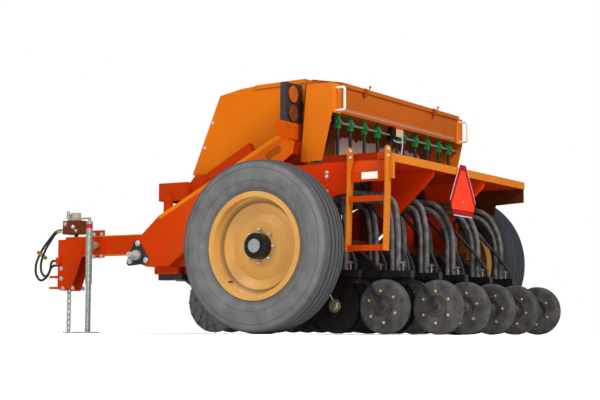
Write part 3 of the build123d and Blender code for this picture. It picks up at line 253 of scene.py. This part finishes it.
def tyre_rubber(name, wall, dusted, crown):
    """Tyre: a dusted sidewall with moulded rings, and a darker ribbed crown."""
    s = Finish(name)
    r = s.distance((s.y, AXLE), (s.z, WHEEL_Z))
    film = s.patches(90, 6, 0.3, 0.75, most=0.6, rough=0.6)
    tread = s.add("MapRange", r, 0.5, 0.512, 0.0, 0.85)
    rings = 0.0
    for inner, outer in TYRE_RINGS:
        rings = s.add("Math", rings, s.band(r, inner, outer), operation="ADD")
    groove = s.add("Math", rings, 0.35, operation="MULTIPLY")
    color = s.layered(wall, (film, dusted), (tread, crown), (groove, "#2C2C2E"))
    raised = s.add("Bump", 1.0, 1.2 * MM, None, rings, s.relief(45, 3, 0.5))
    return s.done(color, s.gloss(25, 4, 0.66, 0.88), s.relief(1.6, 3, 0.15, raised), spec=0.35)


def rim_enamel(name):
    """Tan rim enamel with a black hub barrel and plated lug nuts, told apart by distance from the axis."""
    s = Finish(name)
    r = s.distance((s.y, AXLE), (s.z, WHEEL_Z))
    dirt = s.patches(30, 6, 0.55, 0.75, most=0.25, rough=0.65)
    depth = s.add("MapRange", s.side, 1.366, 1.385, 0.75, 0.0)
    shadow = s.add("Math", depth, s.band(r, 0.262, 0.291, 0.004), operation="MULTIPLY")
    nut_faces = s.zone((s.side, 1.3585, 1.3595))
    nuts = s.add("Math", nut_faces, s.band(r, LUG_INNER, LUG_OUTER), operation="MULTIPLY")
    hub = s.zone((r, HUB_RADIUS + 0.0005, HUB_RADIUS - 0.0005))
    cap = s.zone((r, 0.0425, 0.0415), (s.side, 1.4195, 1.4205))
    color = s.layered("#D09C54", (s.patches(300), "#C28E48"), (dirt, "#8E744E"), (shadow, "#3A2408"))
    color = s.layered(color, (nuts, "#B9BCBE"), (hub, "#1A1A1C"), (cap, "#8C8D8C"))
    metal = s.add("Math", nuts, 0.6, operation="MULTIPLY")
    return s.done(color, s.gloss(60, 4, 0.32, 0.46), s.sheet(), metal, spec=0.2)


def ladder_enamel(name):
    """Ladder enamel: the rungs and step are the red of the frame, and each rail is painted orange as light
    falling on it.
    """
    s = Finish(name)
    tone = s.patches(300)
    rungs = s.layered("#BE4000", (tone, "#B03600"))
    lit_rails = s.layered("#C06E1E", (tone, "#B46216"))
    front_rail = s.band(s.y, AXLE + 0.4525, AXLE + 0.4635)
    rear_rail = s.zone((s.y, AXLE + 0.7135, AXLE + 0.7145))
    color = s.scuffed(s.layered(rungs, (front_rail, lit_rails), (rear_rail, lit_rails)), "#7A2A08")
    return s.done(color, s.gloss(60, 4, 0.36, 0.5), s.sheet(), spec=0.06)


def sign_sheet(name):
    """Slow-vehicle sign: red-orange middle, dark red border, pale edge."""
    s = Finish(name)
    up = s.add("Math", s.z, SIGN_UP, operation="MULTIPLY")
    slant = s.add("Math", s.side, SIGN_ACROSS, up, operation="MULTIPLY_ADD")
    border = [(s.z, 1.0815, 1.0825), (s.z, 0.8215, 0.8205), (slant, 0.5812, 0.5822)]
    edge = [(s.z, 1.1195, 1.1205), (s.z, 0.7845, 0.7835), (slant, 0.6118, 0.6128)]
    color = s.layered("#EE3A1C", (s.patches(60, 3, 0.3), "#E43414"))
    color = s.layered(color, *[(s.zone(limit), "#940816") for limit in border])
    color = s.layered(color, *[(s.zone(limit), "#D9B9B4") for limit in edge])
    return s.done(color, s.gloss(25, 3, 0.35, 0.5), s.relief(2.2, 2, 0.05), spec=0.15)


def rear_box_enamel(name):
    """Orange enamel, painted a brighter orange on the ends as light, with a double stripe along the lower
    edge of the rear face.
    """
    s = Finish(name)
    rear = s.zone((s.y, 1.2205, 1.2215), (s.side, 0.8055, 0.8045))
    wide = s.add("Math", rear, s.band(s.z, 1.416, 1.423), operation="MULTIPLY")
    thin = s.add("Math", rear, s.band(s.z, 1.428, 1.432), operation="MULTIPLY")
    thin = s.add("Math", thin, 0.8, operation="MULTIPLY")
    ends = s.zone((s.side, 0.8295, 0.8305))
    color = s.layered("#AC5614", (s.patches(420), "#A04C0E"), (ends, "#CC6A12"))
    color = s.layered(color, (wide, "#A58672"), (thin, "#A58672"))
    return s.done(s.scuffed(color, "#9A4410", 0.25), s.gloss(60, 4, 0.34, 0.48), s.sheet(), spec=0.06)


def lamp_plastic(name):
    """Lamp housing in black plastic with ringed amber lenses; the upper one is the brighter."""
    s = Finish(name)
    lens = 0.0
    ring = 0.0
    for height in LENS_HEIGHTS:
        r = s.distance((s.side, LAMP_X), (s.z, height))
        lens = s.add("Math", lens, s.zone((r, 0.0545, 0.0535)), operation="MAXIMUM")
        turn = s.add("Math", r, 2 * math.pi / LENS_RIB, operation="MULTIPLY")
        wave = s.add("Math", turn, operation="SINE")
        ring = s.add("Math", ring, s.zone((wave, -1, 1), (r, 0.054, 0.051)), operation="MAXIMUM")
    lens = s.add("Math", lens, s.zone((s.y, 0.9655, 0.966)), operation="MULTIPLY")
    upper = s.zone((s.z, 1.45, 1.46))
    groove = s.layered("#32180C", (upper, "#7A3208"))
    crest = s.layered("#84441E", (upper, "#D06418"))
    glow = s.layered(groove, (s.zone((ring, 0.2, 0.8)), crest))
    color = s.layered("#232427", (s.patches(45, 4), "#151517"), (lens, glow))
    rough = s.add("Math", lens, -0.3, s.gloss(30, 4, 0.4, 0.55), operation="MULTIPLY_ADD")
    ribs = s.add("Math", ring, lens, operation="MULTIPLY")
    normal = s.add("Bump", 1.0, 0.8 * MM, None, ribs, s.relief(1.8, 2, 0.05))
    return s.done(color, rough, normal, coat=0.1)


# Colours by place on the machine
def side_frame_colors(s):
    """Painted light and shade: the face is painted lighter towards the rear, the rolled upper edge catches
    the light, and the far inner face and the near rear flange lie in painted shade.
    """
    run = s.add("Math", s.y, -SLOPE_SIN, operation="MULTIPLY")
    rise = s.add("Math", s.z, SLOPE_COS, run, operation="MULTIPLY_ADD")
    face = s.layered("#C23600", (s.zone((s.y, AXLE - 1.0, AXLE + 0.04)), "#D4600E"))
    face = s.layered("#4A1A06", (s.zone((s.x, -0.9815, -0.9805)), face))
    face = s.layered(face, (s.zone((s.x, -0.985, -0.99)), "#C23600"))
    edge = s.zone((rise, 0.6850, 0.6885), (s.y, AXLE - 1.02, AXLE - 1.0))
    flange = s.zone((s.y, AXLE - 0.2, AXLE - 0.19), (s.x, -0.0006, 0.0006), (s.x, 1.0421, 1.0409))
    return s.layered(face, (edge, "#DC760E"), (flange, "#961E00"))


def walkboard_colors(s):
    """Red pan, with the rear lip painted orange as light falling on it and the end lips painted dark red as
    shade.
    """
    ends = s.zone((s.side, 1.0295, 1.0299), (s.z, 1.0565, 1.0575))
    lip = s.zone((s.y, AXLE + 0.6865, AXLE + 0.6875))
    return s.layered("#BC2E00", (ends, "#8A1C00"), (lip, "#C4701E"))


def bracket_colors(s):
    """Red, painted brighter on the far side as light, with the far side plate's inner face painted dark
    brown as shade.
    """
    near = s.layered("#F03C00", (s.zone((s.x, -0.3, 0.3)), "#CC3000"))
    inner = s.layered("#4A260C", (s.zone((s.x, -1.0, -0.999)), near))
    return s.layered(near, (s.zone((s.x, -1.0365, -1.0355)), inner))


def hopper_colors(s):
    """Orange outside, painted dark red low near the rear as shade; the rear wall is painted dull brown as
    shade, with a bare grey lower band that ends in a ragged edge.
    """
    shaded_low_end = s.zone((s.y, AXLE - 0.131, AXLE - 0.129), (s.z, 1.271, 1.269))
    cloud = s.add("TexNoise", s.place, 1 / (120 * MM), 4, 0.7)
    ragged = s.add("Math", cloud, 0.16, s.z, operation="MULTIPLY_ADD")
    bare = s.zone((ragged, 1.392, 1.385), (s.x, -0.75, -0.73), (s.x, 0.47, 0.45))
    wall = s.layered("#74401A", (bare, "#E2DCD2"))
    rear = s.zone((s.y, AXLE - 0.0105, AXLE - 0.0095), (s.z, 1.602, 1.6))
    return s.layered("#D46C08", (shaded_low_end, "#A82A00"), (rear, wall))


def main_frame_colors(s):
    """Red outside, painted dull brown as shade inside the frame behind the front tube."""
    return s.layered("#CC3800", (s.zone((s.y, -0.1, -0.09), (s.side, 0.955, 0.95)), "#42180A"))


def box_support_colors(s):
    """Red, orange lamp brackets, and dull brown painted as shade on the legs and beams under the boxes."""
    inner = s.zone((s.y, 0.15, 0.17), (s.side, 0.81, 0.8), (s.z, 1.15, 1.1))
    return s.layered("#B23000", (inner, "#42180A"), (s.zone((s.z, 1.2255, 1.2265)), "#B84A06"))


def tongue_colors(s):
    """Red with the rolled upper and lower edges catching the light."""
    upper = s.band(s.z, 0.7375, 0.7455)
    lower = s.band(s.z, 0.5925, 0.5985)
    return s.layered("#CC3800", (upper, "#DC7A1C"), (lower, "#DC7A1C"))


def rear_lid_colors(s):
    """Orange, painted darker as shade on the lip that hangs over the rear face."""
    return s.layered("#D46C08", (s.zone((s.y, AXLE + 0.2685, AXLE + 0.2695)), "#AA5412"))


def valve_colors(s):
    """Brown body under a pale grey solenoid."""
    return s.layered("#6B3416", (s.zone((s.z, 0.8705, 0.8715)), "#B4A89A"))


def rock_shaft_colors(s):
    """Bare turned shaft and boss in a dark grey flange."""
    r = s.distance((s.y, ROCK_SHAFT_Y), (s.z, ROCK_SHAFT_Z))
    return s.layered("#303133", (s.zone((r, 0.0345, 0.0335)), "#A9ABAC"))


def cup_colors(s):
    """Green mouldings, but a black one beside the middle."""
    return s.layered("#128040", (s.patches(45, 4), "#0C602C"), (s.band(s.x, 0.07, 0.11), "#161412"))


RED = paint("orange_red_enamel", "#CC3800", "#BE3000")
ORANGE = paint("orange_enamel", "#D46C08", "#C86204")
BLACK = paint(
    "satin_black_paint", "#141415", "#0C0C0D",
    rough=0.3, coat=0.3, dust="#4E4A44", dust_amount=0.25, spec=0.5,
)
WHITE = paint("white_paint", "#E8E6E0", "#D6D3CB", rough=0.4, coat=0.1)
DISC = disc_steel("rolled_disc_steel", "#6E6C6B", "#4A4847", "#5A3E2B")
OPENER = disc_steel("black_opener_steel", "#2B2A2A", "#1C1B1B", "#33261E")
ZINC = plated("zinc_plate", "#E2E5E6", "#B4B8BB", metal=0.5)
JACK = plated("dull_zinc_plate", "#C6D0CA", "#97A49C", rough=0.3)
GOLD = plated("yellow_zinc_plate", "#E0CFA0", "#B39A64", metal=0.5)
CAP = plated("soiled_zinc_cap", "#B9B094", "#6E6650", rough=0.3, grain=9, metal=0.7)
HANDLE = plated("dull_zinc_rod", "#A4A7A9", "#7C7F82")
BRASS = plated("brass_clamp", "#B9974A", "#8F6F2E", rough=0.4)
HOSE = rubber("hose_rubber", "#161617", "#4A4844", dusty=0.25, rough=0.5)
PRESS = rubber("press_wheel_rubber", "#232324", "#6C6964", dusty=0.55)
GREY_HOSE = plastic("ribbed_grey_hose", "#6C6969", "#3A3838", ribs_mm=9)
BLACK_HOSE = plastic("ribbed_black_hose", "#202124", "#121214", ribs_mm=7)
BLACK_PLASTIC = plastic("black_moulding", "#1A1A1C", "#101011")
YELLOW = plastic("yellow_band", "#E8B020", "#C88F12")
PLATE = paint("blank_plate", "#EFECE6", "#E2DED6", rough=0.45, coat=0.05)
PINK_PLATE = paint("pinkish_plate", "#C9A08C", "#B8907C")
LATCH = paint("latch_enamel", "#A03A14", "#84300E")
JACK_BAND = paint("band_red", "#C41A2A", "#A81222", spec=0.3)
RIM = rim_enamel("rim_enamel")

FINISH = {
    "tyre_left": tyre_rubber("tyre_rubber", "#57585A", "#7C7B78", "#3B3E42"),
    # The right tyre is painted darker and bluer than the left, partly as painted shade and partly with less
    # dust.
    "tyre_right": tyre_rubber("shaded_tyre_rubber", "#2C3137", "#3C4044", "#2A2F36"),
    "rim_left": RIM,
    "rim_right": RIM,
    "axles": RED,
    "main_frame": enamel("main_frame_enamel", main_frame_colors),
    "side_frames": enamel("side_frame_enamel", side_frame_colors),
    "rock_shaft": enamel("dark_flange_paint", rock_shaft_colors),
    "tongue": enamel("tongue_enamel", tongue_colors),
    "hitch_bracket": RED,
    "safety_chain": ZINC,
    "valve_block": enamel("brown_valve_paint", valve_colors),
    "hitch_hoses": HOSE,
    "opener_frames": BLACK,
    "opener_discs": OPENER,
    "depth_handles": HANDLE,
    "press_arms": BLACK,
    "coulter_clamps": RED,
    "coulter_arms": BLACK,
    "hopper": enamel("hopper_enamel", hopper_colors),
    "hopper_lid": ORANGE,
    "rear_box": rear_box_enamel("rear_box_enamel"),
    "rear_lid": enamel("rear_lid_enamel", rear_lid_colors),
    "seed_cups": enamel("cup_moulding", cup_colors),
    "meter_shaft": HANDLE,
    "meter_drive": BLACK,
    "feed_cups": BLACK_PLASTIC,
    "grey_hoses": GREY_HOSE,
    "black_hoses": BLACK_HOSE,
    "box_supports": enamel("box_support_enamel", box_support_colors),
    "walkboard": enamel("walkboard_enamel", walkboard_colors),
    "walkboard_brackets": enamel("bracket_enamel", bracket_colors),
    "ladder": ladder_enamel("ladder_enamel"),
    "rear_sign": sign_sheet("sign_sheet"),
    "lamps": lamp_plastic("lamp_plastic"),
    "grab_handles": WHITE,
    "jack_tube": JACK,
    "jack_leg": JACK,
}

for name, obj in PARTS.items():
    many = PRESS if name.startswith("press_wheel") else DISC
    obj.data.materials.clear()
    obj.data.materials.append(FINISH.get(name, many))


# Small trim
class Kit:
    """Collects small solids into one mesh."""

    def __init__(self):
        self.verts = []
        self.faces = []

    def ring(self, center, u, v, radius, sides):
        """A ring of corners across the axes u and v; gives the first one's number."""
        first = len(self.verts)
        for i in range(sides):
            a = 2 * math.pi * i / sides
            self.verts.append(center + radius * (math.cos(a) * u + math.sin(a) * v))
        return first

    def skin(self, rings, sides):
        """Joins the rings one to the next and closes both ends."""
        for a, b in zip(rings, rings[1:]):
            for i in range(sides):
                j = (i + 1) % sides
                self.faces.append((a + i, a + j, b + j, b + i))
        self.faces.append(tuple(reversed(range(rings[0], rings[0] + sides))))
        self.faces.append(tuple(range(rings[-1], rings[-1] + sides)))

    def lathe(self, center, axis, profile, sides=16):
        """A turned solid from rings of (distance along the axis, radius)."""
        u = axis.orthogonal().normalized()
        v = axis.cross(u)
        self.skin([self.ring(center + axis * d, u, v, r, sides) for d, r in profile], sides)

    def bolt(self, center, axis, radius, height):
        """A hex head on a washer, its seat at center."""
        washer = radius * 1.45
        seat = 0.0016
        top = seat + height
        self.lathe(center, axis, [(-0.001, washer), (seat, washer)], 20)
        self.lathe(center, axis, [(0.001, radius), (top - height * 0.18, radius), (top, radius * 0.82)], 6)

    def box(self, low, high):
        """A block between two opposite corners."""
        base = len(self.verts)
        for x in (low[0], high[0]):
            for y in (low[1], high[1]):
                for z in (low[2], high[2]):
                    self.verts.append(Vector((x, y, z)))
        for f in ((0, 1, 3, 2), (4, 6, 7, 5), (0, 4, 5, 1), (2, 3, 7, 6), (0, 2, 6, 4), (1, 5, 7, 3)):
            self.faces.append(tuple(base + i for i in f))

    def tube(self, points, radius, sides=10):
        """A bent rod through these places."""
        u = (points[1] - points[0]).orthogonal()
        rings = []
        for i, p in enumerate(points):
            along = (points[min(i + 1, len(points) - 1)] - points[max(i - 1, 0)]).normalized()
            u = (u - along * u.dot(along)).normalized()
            rings.append(self.ring(p, u, along.cross(u), radius, sides))
        self.skin(rings, sides)

    def done(self, name, material, body="frame"):
        """Makes the piece, with edges over 35 degrees kept sharp, and lets it ride on its body."""
        mesh = bpy.data.meshes.new(name)
        mesh.from_pydata([tuple(v) for v in self.verts], [], self.faces)
        mesh.materials.append(material)
        obj = bpy.data.objects.new(name, mesh)
        bpy.context.collection.objects.link(obj)
        for face in mesh.polygons:
            face.use_smooth = True
        mesh.set_sharp_from_angle(angle=math.radians(35))
        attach(obj, body)


ROWS = []
for step in range(-ROWS_EACH_SIDE, ROWS_EACH_SIDE + 1):
    number = str(step + ROWS_EACH_SIDE + 1).zfill(2)
    ROWS.append((number, step * ROW_SPACING, REAR_RANK_Y if step % 2 == 0 else FRONT_RANK_Y))

# Six plated bolts in a ring on both sides of each press wheel, each wheel turned a little further
for number, row_x, press_y in ROWS:
    kit = Kit()
    for sign in (1, -1):
        for i in range(6):
            a = math.radians(60 * i + 20 + 7 * int(number))
            y = press_y + PRESS_BOLT_CIRCLE * math.cos(a)
            z = PRESS_AXLE_Z + PRESS_BOLT_CIRCLE * math.sin(a)
            kit.bolt(spot(row_x + sign * PRESS_DISH, y, z), X_AXIS * sign, 0.006, 0.005)
    kit.done("press_bolts_" + number, GOLD, "press_wheel_" + number)

# Flanged caps with their bolts on the opener discs' hubs
CAP_FLANGE = 0.004
CAP_PROFILE = [(0, 0.042), (CAP_FLANGE, 0.042), (0.006, 0.026), (0.011, 0.022), (0.014, 0.012)]
kit = Kit()
for _, row_x, press_y in ROWS:
    for sign in (1, -1):
        cap = spot(row_x + sign * DISC_HUB_FACE, press_y - DISC_LEAD, DISC_AXLE_Z)
        kit.lathe(cap, X_AXIS * sign, CAP_PROFILE, 28)
        for i in range(6):
            a = math.radians(60 * i)
            around = CAP_BOLT_CIRCLE * MM * Vector((0, math.cos(a), math.sin(a)))
            kit.bolt(cap + sign * CAP_FLANGE * X_AXIS + around, X_AXIS * sign, 0.005, 0.004)
kit.done("disc_hub_caps", CAP)

# A thin scraper rod down to each opener's cap
kit = Kit()
for _, row_x, press_y in ROWS:
    top = spot(row_x + SCRAPER_OUT, press_y - 376, 272)
    foot = spot(row_x + SCRAPER_OUT, press_y - 344, 212)
    kit.tube([top, foot], 0.0035, 8)
kit.done("opener_scrapers", ZINC)

# Plated bolts on both sides of the machine: the face, places as (y, z), and the head's radius and height
SIDE_BOLTS = (
    (FLANGE_FACE, ((-1181, 599), (-1246, 481), (-1111, 484)), 0.014, 0.011),
    (WALKBOARD_FACE, ((273, 995), (273, 970), (274, 877)), 0.009, 0.007),
    (HITCH_FACE, ((-2733, 500), (-2731, 422), (-2713, 344), (-2611, 346)), 0.012, 0.009),
    (HOPPER_FACE, ((-736, 1401), (-799, 1237)), 0.008, 0.005),
)
JACK_BOLTS = ((-2405, 755), (-2330, 755), (-2405, 585), (-2330, 585))
kit = Kit()
for sign in (1, -1):
    for face, places, radius, height in SIDE_BOLTS:
        for y, z in places:
            kit.bolt(spot(sign * face, y, z), X_AXIS * sign, radius, height)
for y, z in JACK_BOLTS:
    kit.bolt(spot(JACK_PLATE_FACE, y, z), X_AXIS, 0.011, 0.009)
for rail_back in (463, 724):
    for z in (1112, 1072):
        kit.bolt(spot(LADDER_MIDDLE, rail_back, z), Y_AXIS, 0.0075, 0.007)
        kit.bolt(spot(LADDER_MIDDLE, rail_back - RAIL_DEPTH, z), -Y_AXIS, 0.0075, 0.007)
kit.done("frame_bolts", ZINC)

# Hose clamp, coloured bands and the valve's fittings
HOSES = ((51, 800, -2760), (74, 785, -2748))
VALVE_PLUGS = ((-2680, 845, 0.012, 0.01), (-2600, 820, 0.012, 0.014), (-2570, 790, 0.009, 0.01))
kit = Kit()
kit.tube([spot(62.5, -2976, 634), spot(62.5, -2892, 584)], 0.0145, 14)
kit.done("hose_clamp", BRASS)
kit = Kit()
for x, z, band_y in HOSES:
    kit.lathe(spot(x, band_y, z), -Y_AXIS, [(0, 0.0105), (0.018, 0.0105)])
kit.done("hose_bands", YELLOW)
kit = Kit()
for x, z, _ in HOSES:
    kit.lathe(spot(x, -2703, z), -Y_AXIS, [(0, 0.014), (0.012, 0.014), (0.012, 0.011), (0.04, 0.011)], 6)
for y, z, radius, height in VALVE_PLUGS:
    kit.bolt(spot(VALVE_FACE, y, z), X_AXIS, radius, height)
kit.done("valve_fittings", ZINC)

# Press-down latches on the rear lid's edge
kit = Kit()
for x in (550, -430):
    kit.box(spot(x - 15, 269.5, 1538), spot(x + 15, 278, 1590))
    kit.tube([spot(x, 276, 1566), spot(x - 16, 288, 1578), spot(x - 32, 288, 1600)], 0.004)
    kit.lathe(spot(x - 34, 288, 1598), Z_AXIS, [(0, 0.007), (0.012, 0.007)])
kit.done("lid_latches", LATCH, "rear_lid")

# Blank plates on the ladder's top step and in front of the middle metering cup, and the cup's thin lever
kit = Kit()
kit.box(spot(1068.2, 539, 937), spot(1069.3, 650, 979))
kit.done("ladder_plate", PLATE)
kit = Kit()
kit.box(spot(-40, 233, 1338), spot(62, 235, 1400))
kit.done("middle_plate", PINK_PLATE)
kit = Kit()
kit.tube([spot(-30, 231, 1345), spot(-34, 231, 1290), spot(-26, 226, 1215)], 0.005)
kit.tube([spot(90, 231, 1310), spot(60, 231, 1300), spot(-30, 231, 1306)], 0.005)
kit.done("middle_lever", ZINC)

# Rivet in the sign and the jack tube's band
kit = Kit()
kit.lathe(spot(-3, 701, 877), Y_AXIS, [(0, 0.006), (0.003, 0.006), (0.004, 0.004)], 12)
kit.done("sign_rivet", ZINC)
kit = Kit()
kit.lathe(spot(165, -2365, 795), Z_AXIS, [(0, 0.0254), (0.034, 0.0254)], 40)
kit.done("jack_band", JACK_BAND, "jack_tube")

# Studs that stand out of the lug nuts, and valve stems
for side, sign in (("left", 1), ("right", -1)):
    kit = Kit()
    for i in range(8):
        a = math.radians(45 * i)
        stud = spot(sign * STUD_FACE, STUD_CIRCLE * math.cos(a), WHEEL_Z / MM + STUD_CIRCLE * math.sin(a))
        kit.lathe(stud, X_AXIS * sign, [(0, 0.0065), (0.017, 0.0065), (0.019, 0.004)], 12)
    kit.done("wheel_studs_" + side, ZINC, "wheel_" + side)
for side, sign in (("left", 1), ("right", -1)):
    kit = Kit()
    stem = [(0, 0.005), (0.03, 0.005), (0.03, 0.004), (0.042, 0.004)]
    kit.lathe(spot(sign * RIM_FACE, -193, 318), X_AXIS * sign, stem, 10)
    kit.done("valve_stem_" + side, BLACK_PLASTIC, "wheel_" + side)


# Stage, light and camera
def pale_floor(name):
    """Matt sheet, white to the camera and brighter away from the machine, that lights it only softly."""
    s = Finish(name)
    seen = s.add("LightPath")
    sheet = s.layered("#FFFFFF", (s.patches(900, 3, 0.3), "#FAFAFA"))
    along = s.add("Math", s.y, operation="ABSOLUTE")
    beside = s.add("Math", s.side, 1.3, operation="SUBTRACT")
    beyond = s.add("Math", along, 1.9, operation="SUBTRACT")
    away = s.add("Math", beside, beyond, operation="MAXIMUM")
    near_glow = s.add("MapRange", away, 0.0, 1.1, 0.0, 0.35)
    far_glow = s.add("MapRange", away, 1.5, 6.0, 0.0, 0.8)
    glow = s.add("Math", near_glow, far_glow, operation="ADD")
    surface = s.tree.nodes["Principled BSDF"].inputs
    s.fill(surface["Emission Color"], "#FFFFFF")
    s.fill(surface["Emission Strength"], s.add("Math", seen, glow, operation="MULTIPLY"))
    return s.done(s.layered("#F0F0EE", (seen, sheet)), 0.9, s.relief(12, 3, 0.02), spec=0.1)


FLOOR_HALF = 40
floor_mesh = bpy.data.meshes.new("floor")
corners = [(x * FLOOR_HALF, y * FLOOR_HALF, 0) for x, y in ((-1, -1), (1, -1), (1, 1), (-1, 1))]
floor_mesh.from_pydata(corners, [], [(0, 1, 2, 3)])
floor_mesh.materials.append(pale_floor("pale_floor"))
floor = bpy.data.objects.new("floor", floor_mesh)
bpy.context.collection.objects.link(floor)

# A white room to the camera, and a dimmer, cooler one to the machine
world = bpy.data.worlds.new("studio")
world.use_nodes = True
bpy.context.scene.world = world
room = Nodes(world.node_tree)
room.tree.nodes.clear()
cool = room.add("Background", "#F6F9FF", 0.32)
white = room.add("Background", "#FFFFFF", 1.0)
room.add("OutputWorld", room.add("MixShader", room.add("LightPath"), cool, white))


def area(name, place, target, size, power, code="#FFFFFF"):
    """A soft rectangular light that faces the target."""
    light = bpy.data.lights.new(name, "AREA")
    light.shape = "RECTANGLE"
    light.size, light.size_y = size
    light.energy = power
    light.color = linear(code)[:3]
    obj = bpy.data.objects.new(name, light)
    bpy.context.collection.objects.link(obj)
    obj.location = place
    obj.rotation_euler = (Vector(target) - Vector(place)).to_track_quat("-Z", "Y").to_euler()


area("key", (3.0, 7.5, 6.5), (0, 0.5, 0.8), (4, 4), 850, "#FFFDF8")
area("side", (7.5, -1.5, 6.0), (0, 0, 0.9), (4, 3), 330)
area("low_fill", (7.0, 4.5, 0.9), (0, 1.2, 0.7), (5, 1.2), 70)

# The camera stands at floor level behind the left wheel; yaw, pitch and roll in radians
CAMERA_PLACE = spot(8622, 4846, 12)
YAW, PITCH, ROLL = 0.561, 0.0915, 0.005
camera_data = bpy.data.cameras.new("camera")
camera_data.sensor_width = 36.0
camera_data.lens = 86.63
camera_data.clip_end = 5 * FLOOR_HALF
camera = bpy.data.objects.new("camera", camera_data)
bpy.context.collection.objects.link(camera)
bpy.context.scene.camera = camera
forward = Vector((-math.cos(YAW) * math.cos(PITCH), -math.sin(YAW) * math.cos(PITCH), math.sin(PITCH)))
level = forward.cross(Z_AXIS).normalized()
upright = level.cross(forward)
right = math.cos(ROLL) * level + math.sin(ROLL) * upright
up = math.cos(ROLL) * upright - math.sin(ROLL) * level
turn = Matrix((right, up, -forward)).transposed()
camera.matrix_world = Matrix.Translation(CAMERA_PLACE) @ turn.to_4x4()

bpy.context.scene.view_settings.view_transform = "Standard"
